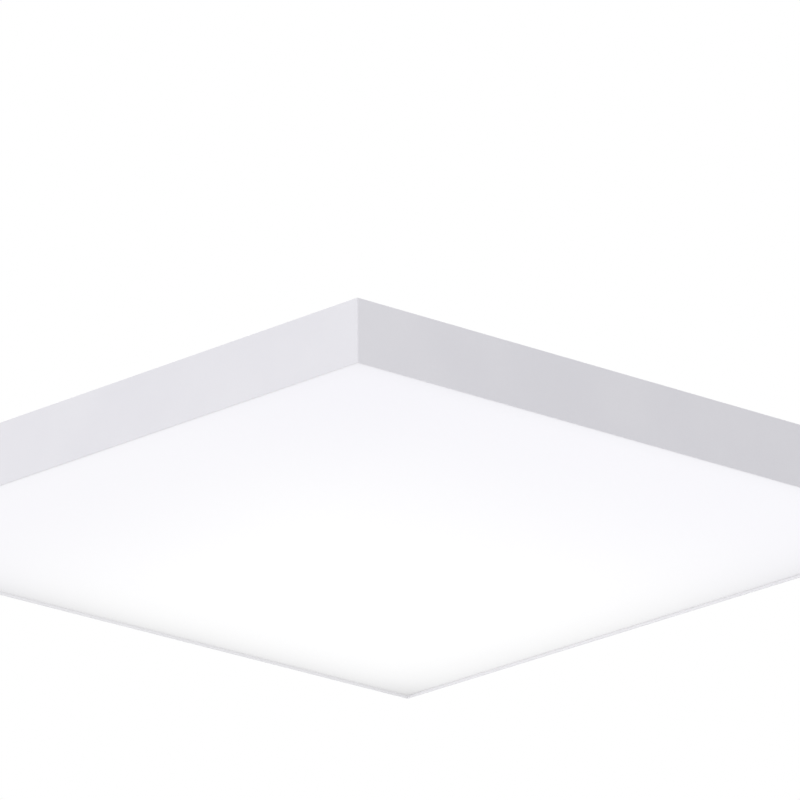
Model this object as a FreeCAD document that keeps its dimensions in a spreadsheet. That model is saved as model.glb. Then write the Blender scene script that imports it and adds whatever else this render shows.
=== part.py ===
# Square flush mount ceiling light: a pressed steel pan that screws to the ceiling and carries the
# driver and the light bars, and a shade (four mitred profiles and an opal diffuser) that snaps over it.
#
# Millimetres, +Z up. The origin is the middle of the pan's top face, which lies on the ceiling, so
# everything hangs below z = 0. Depths are measured down from the ceiling, insets inwards from the
# outer face of the frame.

import FreeCAD, Part
import math
import os
from types import SimpleNamespace

import Sketcher
from FreeCAD import Placement, Rotation, Vector

UP = Vector(0, 0, 1)

# ---------------------------------------------------------------------------------------------
# Driving dimensions
# ---------------------------------------------------------------------------------------------

DIMENSIONS = {
    # overall
    "frame_side": (600, "outer width and length of the frame"),
    "frame_height": (50, "ceiling to the lower rim"),
    "ceiling_gap": (1.5, "shadow gap between frame and ceiling"),
    "fit_gap": (0.2, "clearance between parts that slide or snap together"),
    # frame profile
    "frame_wall": (1.6, "wall of the extruded frame"),
    "edge_break": (0.3, "broken edge along the top and the rim"),
    "corner_bevel": (0.9, "bevel on the outer corner, along each face"),
    "mitre_gap": (0.05, "half of the hairline at each mitre"),
    "mitre_depth": (10, "how far in the mitre is sawn"),
    "catch_rib_depth": (7, "ceiling to the rib that the catches hold"),
    "catch_rib_thickness": (1.5, "catch rib"),
    "catch_rib_reach": (2.4, "catch rib, inwards from the wall"),
    "channel_gap": (4, "key channel above the diffuser's upstand"),
    "channel_height": (9.6, "clear height of the key channel"),
    "channel_width": (3.6, "clear width of the key channel"),
    "channel_rib": (1.2, "ribs and lips of the key channel"),
    "channel_lip": (2, "lip that closes the key channel"),
    "ledge_thickness": (1.4, "ledge that the diffuser snaps over"),
    "ledge_reach": (1.4, "ledge, inwards from the wall"),
    # corner keys
    "key_leg": (36, "length of each key leg"),
    "key_screw_radius": (2, "set screws in the keys"),
    "key_screw_first": (14, "corner to the first set screw"),
    "key_screw_pitch": (13, "between the two set screws of a leg"),
    # diffuser
    "rim_recess": (2, "diffuser face above the lower rim"),
    "diffuser_thickness": (2, "opal plate"),
    "diffuser_clearance": (0.6, "plate edge to the frame wall"),
    "upstand_thickness": (1.5, "upstand of the diffuser"),
    "upstand_height": (6, "upstand above the plate"),
    "upstand_gap": (0.4, "upstand to the ledge"),
    "barb_reach": (1.2, "snap barbs, outwards from the upstand"),
    "barb_height": (2.2, "snap barbs"),
    "barb_length": (16, "snap barbs"),
    "barb_pitch": (150, "between snap barbs"),
    "barb_count": (4, "snap barbs on a side"),
    "upstand_end": (3, "end of each upstand from the next one"),
    # pan
    "pan_play": (1, "pan's flange to the frame's catch rib"),
    "pan_sheet": (0.8, "pressed steel of the pan"),
    "pan_flange": (20, "height of the pan"),
    "pan_corner": (5, "outer corner radius of the pan"),
    "pan_bend": (1.6, "outer bend radius along the top edge"),
    "bead_width": (12, "stiffening beads"),
    "bead_press": (2.2, "how deep the beads are pressed"),
    "bead_inset": (32, "middle of the bead that runs round the edge"),
    "bead_length": (400, "bead that runs round the edge"),
    "bead_slot_gap": (80, "end of a bead to the middle of a ceiling slot"),
    "bead_driver_gap": (27, "end of a short bead to the driver"),
    "bead_end_inset": (64, "other end of a short bead"),
    "weld_radius": (2.5, "spot weld marks"),
    "weld_press": (0.2, "spot weld marks"),
    "weld_pitch": (70, "between spot welds"),
    "weld_count": (7, "spot welds along a foot"),
    # ceiling fixings and cable entry
    "slot_width": (5.5, "ceiling screw slots"),
    "slot_length": (14, "ceiling screw slots, end to end"),
    "entry_y": (60, "cable entry, from the middle"),
    "entry_dish": (20, "radius of the dish round the cable entry"),
    "entry_press": (2.5, "depth of that dish"),
    "entry_hole": (10, "radius of the hole for the cable grommet"),
    "entry_bore": (6, "radius of the grommet's bore"),
    "entry_flange": (13, "radius of the grommet's flanges"),
    "entry_lip": (1.6, "thickness of each flange"),
    # catches
    "catch_spacing": (300, "between the two catches of a side"),
    "catch_width": (20, "catch spring"),
    "catch_strip": (0.5, "spring steel strip"),
    "catch_leg_gap": (0.3, "spring's leg to the inside of the flange"),
    "catch_nose_play": (0.8, "tip of the spring's nose to the frame's wall"),
    "catch_tail": (2.4, "length of the spring's bent tail"),
    "catch_nose_gap": (0.3, "nose below the catch rib"),
    "catch_pad_press": (1.5, "how deep the pan is pressed over each foot"),
    "catch_pad_start": (3, "side of the pan to that pressed pad"),
    "catch_pad_length": (14, "that pressed pad, inwards"),
    "catch_pad_width": (28, "that pressed pad"),
    "rivet_radius": (1.5, "shanks of the catch rivets"),
    "rivet_head": (2.75, "heads of the catch rivets"),
    "rivet_head_height": (0.9, "those heads"),
    "rivet_spread": (6, "rivets, to each side of the spring's middle"),
    # rails between pan and tray
    "gear_depth": (17, "ceiling to the upper face of the reflector tray"),
    "rail_end_gap": (45, "end of a rail to the side of the pan"),
    "rail_crown": (28, "width of the rails"),
    "rail_foot": (12, "feet of the rails"),
    "rail_sheet": (1, "folded steel of the rails"),
    # reflector tray
    "tray_sheet": (0.6, "white sheet of the reflector tray"),
    "tray_slope_start": (28, "inset where the tray's slope begins"),
    "tray_rim": (2.8, "flat rim beyond the slope"),
    "tray_play": (0.8, "edge of the tray to the frame's key channel"),
    "tray_drop": (4, "edge of the tray below its middle"),
    "access_radius": (8, "holes for reaching the ceiling screws"),
    # light bars
    "led_count": (9, "light sources in a row, and rows"),
    "bar_width": (14, "light bars"),
    "bar_end_gap": (13, "end of a bar to the tray's slope"),
    "led_end": (19, "end of a bar to its first light source"),
    "bar_board": (1, "board of a light bar"),
    "chip_length": (3.5, "light source"),
    "chip_width": (2.8, "light source"),
    "chip_height": (0.8, "light source"),
    "lens_radius": (7.5, "lens over each light source"),
    "lens_height": (5.2, "lens"),
    "lens_bore": (3.2, "hollow of the lens, radius"),
    "pin_radius": (1.6, "push rivets that hold the bars"),
    "pin_head": (3.25, "heads of those rivets"),
    "pin_head_height": (1.2, "heads of those rivets"),
    "pin_tail": (0.6, "spread ends of those rivets, above the tray"),
    "pin_spread": (0.8, "how far those ends spread"),
    "plug_length": (9, "connectors on the bars, along the bar"),
    "plug_width": (10, "connectors"),
    "plug_height": (4.5, "connectors"),
    "plug_end": (1, "end of a bar to its connector"),
    "wire_radius": (0.8, "low voltage wires"),
    "wire_spread": (1.5, "each low voltage wire, from the middle of its pair"),
    "wire_bow": (5, "how far the wires between bars bow outwards"),
    "wire_sag": (0.6, "how far they sag"),
    "gland_y": (28, "hole in the tray for the output leads"),
    "gland_hole": (5.2, "radius of that hole"),
    "gland_bore": (3.9, "radius of the grommet's bore there"),
    "gland_flange": (6.7, "radius of its flanges"),
    "gland_lip": (1, "thickness of each flange"),
    "gland_lean": (0.9, "how far the leads lean to the grommet's rear as they curve through it"),
    # quarter-turn knobs
    "knob_shaft": (3, "radius of the knob's shaft"),
    "knob_hole": (3.5, "radius of the hole in the tray"),
    "knob_head": (8, "radius of the knob's head"),
    "knob_head_height": (2.4, "knob's head"),
    "knob_grip_height": (3, "grip bar on the knob's head"),
    "knob_grip_width": (4, "grip bar"),
    "knob_wing": (13, "tip to tip of the locking wings"),
    "knob_wing_width": (4.6, "locking wings"),
    "knob_wing_height": (2.6, "locking wings"),
    "knob_slot_length": (15, "slot in the rail"),
    "knob_slot_width": (7.2, "slot in the rail"),
    # driver
    "driver_y": (-60, "middle of the driver"),
    "driver_length": (170, "driver, without its ears"),
    "driver_width": (46, "driver"),
    "driver_height": (14.4, "driver"),
    "driver_wall": (1.6, "walls of the driver's case"),
    "driver_ear": (12, "screw ears of the case"),
    "driver_ear_height": (2.2, "screw ears"),
    "driver_edge": (1.2, "rounded edge of the lid"),
    "driver_post": (2.2, "radius of the posts under the board"),
    "driver_post_inset": (8, "posts, from the outside of the driver"),
    "driver_board_gap": (1, "round the board"),
    "component_gap": (0.8, "tallest components to the lid"),
    "driver_board_height": (2.2, "underside of the board above the case's floor"),
    "driver_board_thickness": (1.6, "board"),
    "driver_port_play": (0.25, "round each lead where it enters the driver"),
    "lead_depth": (7.4, "depth of the leads below the ceiling"),
    "mains_spread": (2, "each mains lead, from the middle of its pair at the driver"),
    "screw_radius": (1.5, "self-tapping screws"),
    "screw_head": (2.9, "heads of those screws"),
    "screw_head_height": (1.8, "heads"),
    # terminal block and earth
    "terminal_x": (70, "middle of the terminal block"),
    "terminal_y": (40, "middle of the terminal block"),
    "terminal_length": (26, "terminal block, along the wires"),
    "terminal_pole": (11, "width of one pole"),
    "terminal_height": (14, "terminal block"),
    "terminal_ear": (8, "screw ears of the terminal block"),
    "terminal_ear_height": (3, "screw ears"),
    "terminal_port": (1.4, "radius of the wire ports"),
    "terminal_port_depth": (9, "wire ports"),
    "lead_insert": (4, "how far the leads reach into the block and the driver"),
    "button_side": (5, "release buttons"),
    "button_play": (0.2, "round each button"),
    "button_height": (4.2, "release buttons"),
    "button_proud": (1.6, "how far the buttons stand out"),
    "button_well": (5.6, "depth of the wells for the buttons"),
    "button_offset": (5.2, "buttons, from the middle of the block"),
    "mains_radius": (1.1, "mains leads"),
    "stud_x": (112, "earth stud"),
    "stud_y": (78, "earth stud"),
    "stud_radius": (2, "earth stud"),
    "stud_length": (10, "earth stud"),
    "collar_radius": (3.6, "collar of the earth stud"),
    "collar_height": (1.2, "collar of the earth stud"),
    "nut_across": (7, "earth nut, across flats"),
    "nut_height": (3.2, "earth nut"),
    "ring_radius": (4.4, "ring of the earth terminal"),
    "ring_thickness": (0.8, "ring of the earth terminal"),
    "barrel_radius": (1.9, "barrel of the earth terminal"),
    "barrel_length": (7, "barrel"),
    "barrel_neck": (2, "ring to barrel"),
}

doc = FreeCAD.newDocument("CeilingLight")
sheet = doc.addObject("Spreadsheet::Sheet", "Sizes")
for row, (alias, (amount, note)) in enumerate(DIMENSIONS.items(), start=1):
    sheet.set(f"A{row}", note)
    sheet.set(f"B{row}", str(amount))
    sheet.setAlias(f"B{row}", alias)
doc.recompute()


class Size:
    """A number together with the spreadsheet formula that gives it."""

    def __init__(self, value, formula):
        self.value = float(value)
        self.formula = formula

    def __add__(self, other):
        other = size(other)
        return Size(self.value + other.value, f"({self.formula} + {other.formula})")

    def __sub__(self, other):
        other = size(other)
        return Size(self.value - other.value, f"({self.formula} - {other.formula})")

    def __mul__(self, other):
        other = size(other)
        return Size(self.value * other.value, f"({self.formula} * {other.formula})")

    def __truediv__(self, other):
        other = size(other)
        return Size(self.value / other.value, f"({self.formula} / {other.formula})")

    def __neg__(self):
        return Size(-self.value, f"(0 - {self.formula})")

    __radd__ = __add__
    __rmul__ = __mul__

    def __rsub__(self, other):
        return size(other) - self


def size(number):
    return number if isinstance(number, Size) else Size(number, f"{number}")


d = SimpleNamespace(**{alias: Size(amount, f"Sizes.{alias}") for alias, (amount, note) in DIMENSIONS.items()})

# Places that several parts share
half = d.frame_side / 2
rim = -d.frame_height
diffuser_face = rim + d.rim_recess
diffuser_top = diffuser_face + d.diffuser_thickness
ledge_under = diffuser_top + d.fit_gap
pan_under = -d.pan_sheet
pan_inset = d.frame_wall + d.catch_rib_reach + d.pan_play
pan_half = half - pan_inset
gear = -d.gear_depth
tray_under = gear - d.tray_sheet
board_under = tray_under - d.bar_board
tray_edge = d.frame_wall + d.channel_width + d.channel_rib + d.tray_play
tray_slope_end = tray_edge + d.tray_rim
bar_half = half - d.tray_slope_start - d.bar_end_gap
led_pitch = 2 * (bar_half - d.led_end) / (d.led_count - 1)
led_first = d.led_end - bar_half
# what hangs between the rows of lights keeps to their grid
rail_offset = 2.5 * led_pitch
knob_x = 3 * led_pitch
mount_half = 3.5 * led_pitch
rib_under = -(d.catch_rib_depth + d.catch_rib_thickness)
# the nose's 45 degree ramp passes the rib's inner edge catch_nose_gap below it
nose_inset = d.frame_wall + d.catch_nose_play
nose_level = rib_under - d.catch_nose_gap - (d.catch_rib_reach - d.catch_nose_play)
leg_inset = pan_inset + d.pan_sheet + d.catch_leg_gap
nose_reach = leg_inset - nose_inset
catch_pad_start = pan_inset + d.catch_pad_start
catch_pad_end = catch_pad_start + d.catch_pad_length
terminal_under = pan_under - d.terminal_height
driver_floor = pan_under - d.driver_wall
board_level = driver_floor - d.driver_board_height
driver_split = -d.lead_depth
board_x = d.driver_length / 2 - d.driver_wall - d.driver_board_gap
board_y = d.driver_width / 2 - d.driver_wall - d.driver_board_gap
channel_under = diffuser_top + d.upstand_height + d.channel_gap
channel_floor = channel_under + d.channel_rib
channel_roof = channel_floor + d.channel_height
plug_x = bar_half - d.plug_end - d.plug_length / 2
barrel_axis = pan_under - d.collar_height - d.barrel_radius

# ---------------------------------------------------------------------------------------------
# Sketches and features
# ---------------------------------------------------------------------------------------------


def bind(thing, path, amount):
    """Ties a property to the sheet. The formula works in plain numbers."""
    thing.setExpression(path, size(amount).formula)


def new_body(name):
    body = doc.addObject("PartDesign::Body", name)
    body.Label = name
    return body


def origin_of(body, role):
    return next(feature for feature in body.Origin.OriginFeatures if feature.Role == role)


def sketch_on(body, name, plane="XY_Plane", level=0):
    """A sketch on one of the body's own planes, lifted along the plane's normal by level."""
    sketch = body.newObject("Sketcher::SketchObject", name)
    sketch.AttachmentSupport = (origin_of(body, plane), [""])
    sketch.MapMode = "FlatFace"
    level = size(level)
    sketch.AttachmentOffset = Placement(Vector(0, 0, level.value), Rotation())
    bind(sketch, "AttachmentOffset.Base.z", level)
    return sketch


def hold(sketch, kind, index, point, amount):
    """Holds one coordinate of a point at a size measured from the sketch's origin."""
    amount = size(amount)
    number = sketch.addConstraint(Sketcher.Constraint(kind, -1, 1, index, point, amount.value))
    bind(sketch, f"Constraints[{number}]", amount)


def add_outline(sketch, points):
    """A closed outline through the points, each held by its two coordinates."""
    first = sketch.GeometryCount
    places = [Vector(size(x).value, size(y).value, 0) for x, y in points]
    count = len(places)
    for start, end in zip(places, places[1:] + places[:1]):
        sketch.addGeometry(Part.LineSegment(start, end))
    sketch.addConstraint(
        [Sketcher.Constraint("Coincident", first + i, 2, first + (i + 1) % count, 1) for i in range(count)]
    )
    for i, (x, y) in enumerate(points):
        hold(sketch, "DistanceX", first + i, 1, x)
        hold(sketch, "DistanceY", first + i, 1, y)


def add_box(sketch, x0, x1, y0, y1):
    add_outline(sketch, [(x0, y0), (x1, y0), (x1, y1), (x0, y1)])


def add_circle(sketch, x, y, radius):
    x, y, radius = size(x), size(y), size(radius)
    index = sketch.addGeometry(Part.Circle(Vector(x.value, y.value, 0), UP, radius.value))
    hold(sketch, "DistanceX", index, 3, x)
    hold(sketch, "DistanceY", index, 3, y)
    number = sketch.addConstraint(Sketcher.Constraint("Radius", index, radius.value))
    bind(sketch, f"Constraints[{number}]", radius)


def add_slot(sketch, x, y, length, width, along_y=False):
    """A slot with round ends, length from end to end, along X or along Y."""
    x, y, radius = size(x), size(y), size(width) / 2
    reach = size(length) / 2 - radius
    ends = [(x, y - reach), (x, y + reach)] if along_y else [(x - reach, y), (x + reach, y)]
    start = math.pi if along_y else math.pi / 2
    centres = [Vector(px.value, py.value, 0) for px, py in ends]
    arcs = [
        Part.ArcOfCircle(Part.Circle(centres[0], UP, radius.value), start, start + math.pi),
        Part.ArcOfCircle(Part.Circle(centres[1], UP, radius.value), start + math.pi, start + 2 * math.pi),
    ]
    first = sketch.addGeometry(arcs[0])
    last = sketch.addGeometry(arcs[1])
    one = sketch.addGeometry(Part.LineSegment(arcs[0].EndPoint, arcs[1].StartPoint))
    two = sketch.addGeometry(Part.LineSegment(arcs[1].EndPoint, arcs[0].StartPoint))
    sketch.addConstraint(
        [
            Sketcher.Constraint("Tangent", first, 2, one, 1),
            Sketcher.Constraint("Tangent", one, 2, last, 1),
            Sketcher.Constraint("Tangent", last, 2, two, 1),
            Sketcher.Constraint("Tangent", two, 2, first, 1),
            Sketcher.Constraint("Equal", first, last),
        ]
    )
    for index, (px, py) in zip((first, last), ends):
        hold(sketch, "DistanceX", index, 3, px)
        hold(sketch, "DistanceY", index, 3, py)
    number = sketch.addConstraint(Sketcher.Constraint("Radius", first, radius.value))
    bind(sketch, f"Constraints[{number}]", radius)


def pad(body, sketch, length, up=False, both_ways=False):
    """Adds material down from the sketch, or up, or half to each side."""
    feature = body.newObject("PartDesign::Pad", sketch.Name + "_pad")
    feature.Profile = sketch
    feature.SideType = "Symmetric" if both_ways else "One side"
    feature.Reversed = not up and not both_ways
    bind(feature, "Length", length)
    sketch.Visibility = False
    return feature


def cut(body, sketch, length=None, both_ways=False, up=False):
    """Cuts down from the sketch, or up, or both ways, and through everything unless a length is given."""
    before = volume_of(body)
    feature = body.newObject("PartDesign::Pocket", sketch.Name + "_cut")
    feature.Profile = sketch
    feature.SideType = "Symmetric" if both_ways else "One side"
    feature.Reversed = up
    if length is None:
        feature.Type = "ThroughAll"
    else:
        bind(feature, "Length", length)
    sketch.Visibility = False
    if not volume_of(body) < before:
        raise RuntimeError(f"{feature.Name} in {body.Name} cuts nothing")
    return feature


def volume_of(body):
    doc.recompute()
    return body.Shape.Volume


def revolve(body, sketch, axis="Z_Axis"):
    feature = body.newObject("PartDesign::Revolution", sketch.Name + "_turned")
    feature.Profile = sketch
    feature.ReferenceAxis = (origin_of(body, axis), [""])
    feature.Angle = 360
    sketch.Visibility = False
    return feature


def around(body, features, count):
    """Repeats features in equal turns round the middle of the light."""
    pattern = body.newObject("PartDesign::PolarPattern", body.Name + "_round")
    pattern.Originals = features
    pattern.Axis = (origin_of(body, "Z_Axis"), [""])
    pattern.Angle = 360
    pattern.Occurrences = count
    body.Tip = pattern
    return pattern


def in_rows(body, features, pitch, count, axis="Y_Axis", second=None):
    """Repeats features along one axis, or along both when second gives the other axis."""
    pattern = body.newObject("PartDesign::LinearPattern", body.Name + "_rows")
    pattern.Originals = features
    pattern.Direction = (origin_of(body, axis), [""])
    bind(pattern, "Length", (count - 1) * pitch)
    bind(pattern, "Occurrences", count)
    if second:
        pattern.Direction2 = (origin_of(body, second), [""])
        bind(pattern, "Length2", (count - 1) * pitch)
        bind(pattern, "Occurrences2", count)
    body.Tip = pattern
    return pattern


def edges_where(body, test):
    """Names of the edges of the body, as it stands, whose two ends both pass the test."""
    doc.recompute()
    return [
        f"Edge{number}"
        for number, edge in enumerate(body.Shape.Edges, start=1)
        if all(test(vertex.Point) for vertex in edge.Vertexes)
    ]


def dress(body, kind, names, amount):
    """Rounds (Fillet) or bevels (Chamfer) edges of the body's last feature."""
    base = body.Tip
    feature = body.newObject(f"PartDesign::{kind}", f"{body.Name}_{kind}_{len(body.Group)}")
    feature.Base = (base, names)
    bind(feature, "Radius" if kind == "Fillet" else "Size", amount)
    return feature


def discs(body, name, centres, radius, top, bottom):
    """Round pins of one radius that stand between two heights."""
    sketch = sketch_on(body, name, level=top)
    for x, y in centres:
        add_circle(sketch, x, y, radius)
    return pad(body, sketch, size(top) - bottom)


def block(body, name, x0, x1, y0, y1, top, bottom):
    """A square-edged block between two heights."""
    sketch = sketch_on(body, name, level=top)
    add_box(sketch, x0, x1, y0, y1)
    return pad(body, sketch, size(top) - bottom)


def holes(body, name, centres, radius):
    """Round holes straight through, made from the ceiling side."""
    sketch = sketch_on(body, name)
    for x, y in centres:
        add_circle(sketch, x, y, radius)
    return cut(body, sketch)


def corners(spacing_x, spacing_y):
    """The four corners of a rectangle round the middle."""
    return [(sx * size(spacing_x), sy * size(spacing_y)) for sx in (-1, 1) for sy in (-1, 1)]


def solid_node(name, shape):
    """A node whose shape is made directly, for forms that no sketch or primitive gives."""
    feature = doc.addObject("Part::Feature", name)
    feature.Label = name
    feature.Shape = shape
    return feature


def wire_tube(points, radius):
    """A round wire along straight runs that are joined by tangent arcs."""
    places = [Vector(*(size(c).value for c in point)) for point in points]
    radius = size(radius).value
    edges, here, radii = [], places[0], []
    for before, corner, after in zip(places, places[1:], places[2:]):
        back = (before - corner).normalize()
        ahead = (after - corner).normalize()
        half_turn = (math.pi - back.getAngle(ahead)) / 2
        trim = 0.45 * min((before - corner).Length, (after - corner).Length)
        radii.append(trim / math.tan(half_turn))
        start = corner + back * trim
        end = corner + ahead * trim
        inwards = (back + ahead).normalize()
        middle = corner + inwards * (radii[-1] / math.cos(half_turn) - radii[-1])
        edges.append(Part.LineSegment(here, start).toShape())
        edges.append(Part.Arc(start, middle, end).toShape())
        here = end
    edges.append(Part.LineSegment(here, places[-1]).toShape())
    path = Part.Wire(edges)
    section = Part.Wire(Part.makeCircle(radius, places[0], places[1] - places[0]))
    tube = path.makePipeShell([section], True, False)
    expected = math.pi * radius**2 * path.Length
    print(f"  wire {path.Length:.1f} long, tightest bend {min(radii):.1f}, volume {tube.Volume / expected:.4f}")
    return tube


# ---------------------------------------------------------------------------------------------
# Shade: frame, corner keys and diffuser
# ---------------------------------------------------------------------------------------------


def profile_outline():
    """Section of the frame's extrusion, as (inset, height) from the outer face and the ceiling."""
    wall = d.frame_wall
    top = -d.ceiling_gap
    rib = -d.catch_rib_depth
    rib_in = wall + d.catch_rib_reach
    upper = channel_roof + d.channel_rib
    groove = wall + d.channel_width
    lips = groove + d.channel_rib
    ledge_in = wall + d.ledge_reach
    ledge_top = ledge_under + d.ledge_thickness
    return [
        (d.edge_break, top),
        (wall, top),
        (wall, rib),
        (rib_in, rib),
        (rib_in, rib_under),
        (wall, rib_under),
        (wall, upper),
        (lips, upper),
        (lips, channel_roof - d.channel_lip),
        (groove, channel_roof - d.channel_lip),
        (groove, channel_roof),
        (wall, channel_roof),
        (wall, channel_floor),
        (groove, channel_floor),
        (groove, channel_floor + d.channel_lip),
        (lips, channel_floor + d.channel_lip),
        (lips, channel_under),
        (wall, channel_under),
        (wall, ledge_top),
        (ledge_in, ledge_top),
        (ledge_in, ledge_under),
        (wall, ledge_under),
        (wall, rim),
        (d.edge_break, rim),
        (size(0), rim + d.edge_break),
        (size(0), top - d.edge_break),
    ]


def frame_profile(name, turn):
    """One mitred length of the frame, made at the front and turned round to its side."""
    body = new_body(name)
    section = sketch_on(body, name + "_section", "YZ_Plane")
    add_outline(section, [(inset - half, height) for inset, height in profile_outline()])
    pad(body, section, d.frame_side, both_ways=True)
    saw = sketch_on(body, name + "_mitre")
    bevel_end = (d.corner_bevel + d.mitre_gap) / 2
    past = half + 1
    for sign in (-1, 1):
        add_outline(
            saw,
            [
                (sign * (half - d.corner_bevel), -half),
                (sign * (half - bevel_end), -half + (d.corner_bevel - d.mitre_gap) / 2),
                (sign * (half - d.mitre_depth - d.mitre_gap), d.mitre_depth - half),
                (sign * past, d.mitre_depth - half),
                (sign * past, -past),
                (sign * (half - d.corner_bevel), -past),
            ],
        )
    cut(body, saw)
    body.Placement = Placement(Vector(), Rotation(UP, turn))
    return body


def corner_key(name, turn):
    """A folded key that joins two profiles, in the channels behind the mitre."""
    body = new_body(name)
    outside = d.frame_wall + 2 * d.fit_gap
    inside = d.frame_wall + d.channel_width
    top = channel_roof - d.fit_gap
    bottom = channel_floor + d.fit_gap
    plan = sketch_on(body, name + "_plan", level=top)
    near, far, end = outside - half, inside - half, outside - half + d.key_leg
    add_outline(plan, [(near, near), (end, near), (end, far), (far, far), (far, end), (near, end)])
    pad(body, plan, top - bottom)
    drill_x = sketch_on(body, name + "_holes_front", "XZ_Plane")
    drill_y = sketch_on(body, name + "_holes_side", "YZ_Plane")
    for step in (0, 1):
        along = d.key_screw_first + step * d.key_screw_pitch - half
        add_circle(drill_x, along, (top + bottom) / 2, d.key_screw_radius)
        add_circle(drill_y, along, (top + bottom) / 2, d.key_screw_radius)
    cut(body, drill_x, both_ways=True)
    cut(body, drill_y, both_ways=True)
    body.Placement = Placement(Vector(), Rotation(UP, turn))
    return body


def corner_key_screws():
    """Set screws that spread each key's legs against the profiles: two in each leg, sixteen in all."""
    body = new_body("corner_key_screws")
    radius = d.key_screw_radius - d.fit_gap / 4
    outer_end = d.frame_wall - half
    length = d.channel_width - 2 * d.fit_gap
    middle = channel_floor + d.channel_height / 2
    # the XZ plane looks towards -Y, so a level there is minus the place along Y
    front = sketch_on(body, "screws_front", "XZ_Plane", level=-outer_end)
    side = sketch_on(body, "screws_side", "YZ_Plane", level=outer_end)
    for step in (0, 1):
        along = d.key_screw_first + step * d.key_screw_pitch - half
        add_circle(front, along, middle, radius)
        add_circle(side, along, middle, radius)
    on_front = pad(body, front, length)
    on_side = pad(body, side, length, up=True)
    around(body, [on_front, on_side], 4)
    return body


def diffuser():
    """Opal plate with an upstand on each side, whose barbs snap over the frame's ledge."""
    body = new_body("diffuser")
    edge = half - d.frame_wall - d.diffuser_clearance
    plate = sketch_on(body, "plate", level=diffuser_top)
    add_box(plate, -edge, edge, -edge, edge)
    pad(body, plate, d.diffuser_thickness)
    outside = half - d.frame_wall - d.ledge_reach - d.upstand_gap
    inside = outside - d.upstand_thickness
    wall_end = inside - d.upstand_end
    wall = sketch_on(body, "upstand", level=diffuser_top)
    add_box(wall, -wall_end, wall_end, -outside, -inside)
    upstand = pad(body, wall, d.upstand_height, up=True)
    barb_under = ledge_under + d.ledge_thickness
    snap = sketch_on(body, "barbs", level=barb_under)
    for number in range(int(d.barb_count.value)):
        middle = (number - (d.barb_count - 1) / 2) * d.barb_pitch
        along = (middle - d.barb_length / 2, middle + d.barb_length / 2)
        add_box(snap, *along, -outside - d.barb_reach, -outside)
    barbs = pad(body, snap, d.barb_height, up=True)
    around(body, [upstand, barbs], 4)
    return body


# ---------------------------------------------------------------------------------------------
# Pan, rails, catches and cable entry
# ---------------------------------------------------------------------------------------------


def beads(grow):
    """Places of the pressed beads, as slots grown by an amount: (x, y, length, width, along Y)."""
    ring = half - d.bead_inset
    start = d.driver_length / 2 + d.driver_ear + d.bead_driver_gap
    end = half - d.bead_end_inset
    long, wide = d.bead_length + 2 * grow, d.bead_width + 2 * grow
    middle = 2 * (mount_half - d.bead_slot_gap + grow)
    short = end - start + 2 * grow
    places = [(0, side * ring, long, wide, False) for side in (-1, 1)]
    places += [(side * ring, 0, long, wide, True) for side in (-1, 1)]
    places += [(0, side * mount_half, middle, wide, False) for side in (-1, 1)]
    places += [(x, y, short, wide, False) for x, y in corners((start + end) / 2, d.entry_y)]
    return places


def press(body, name, depth, draw):
    """Presses a form into the pan: a bulge below and the same form, one sheet smaller, above."""
    below = sketch_on(body, name + "_below", level=pan_under)
    draw(below, size(0))
    pad(body, below, depth)
    above = sketch_on(body, name + "_above")
    draw(above, -d.pan_sheet)
    cut(body, above, depth)


def draw_beads(sketch, grow):
    for x, y, length, width, along_y in beads(grow):
        add_slot(sketch, x, y, length, width, along_y)


def draw_pads(sketch, grow):
    """The pads over the feet of the catch springs, two on each side."""
    outer = half - catch_pad_start + grow
    inner = half - catch_pad_end - grow
    reach = d.catch_pad_width / 2 + grow
    for side in (-1, 1):
        for end in (-1, 1):
            middle = end * d.catch_spacing / 2
            low, high = sorted((side * inner, side * outer), key=lambda place: place.value)
            add_box(sketch, middle - reach, middle + reach, low, high)
            add_box(sketch, low, high, middle - reach, middle + reach)


def draw_entry(sketch, grow):
    add_circle(sketch, 0, d.entry_y, d.entry_dish + grow)


def rail_lines():
    """Middles of the four feet of the rails."""
    foot = (d.rail_crown + d.rail_foot) / 2
    return [side * rail_offset + way * foot for side in (-1, 1) for way in (-1, 1)]


def catch_rivet_places():
    """Rivets of the front catches."""
    row = (catch_pad_start + catch_pad_end) / 2 - half
    return [(end * d.catch_spacing / 2 + way * d.rivet_spread, row) for end in (-1, 1) for way in (-1, 1)]


def on_all_sides(places):
    """The same places on all four sides of the pan."""
    return [spot for x, y in places for spot in ((x, y), (x, -y), (y, x), (-y, x))]


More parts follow.
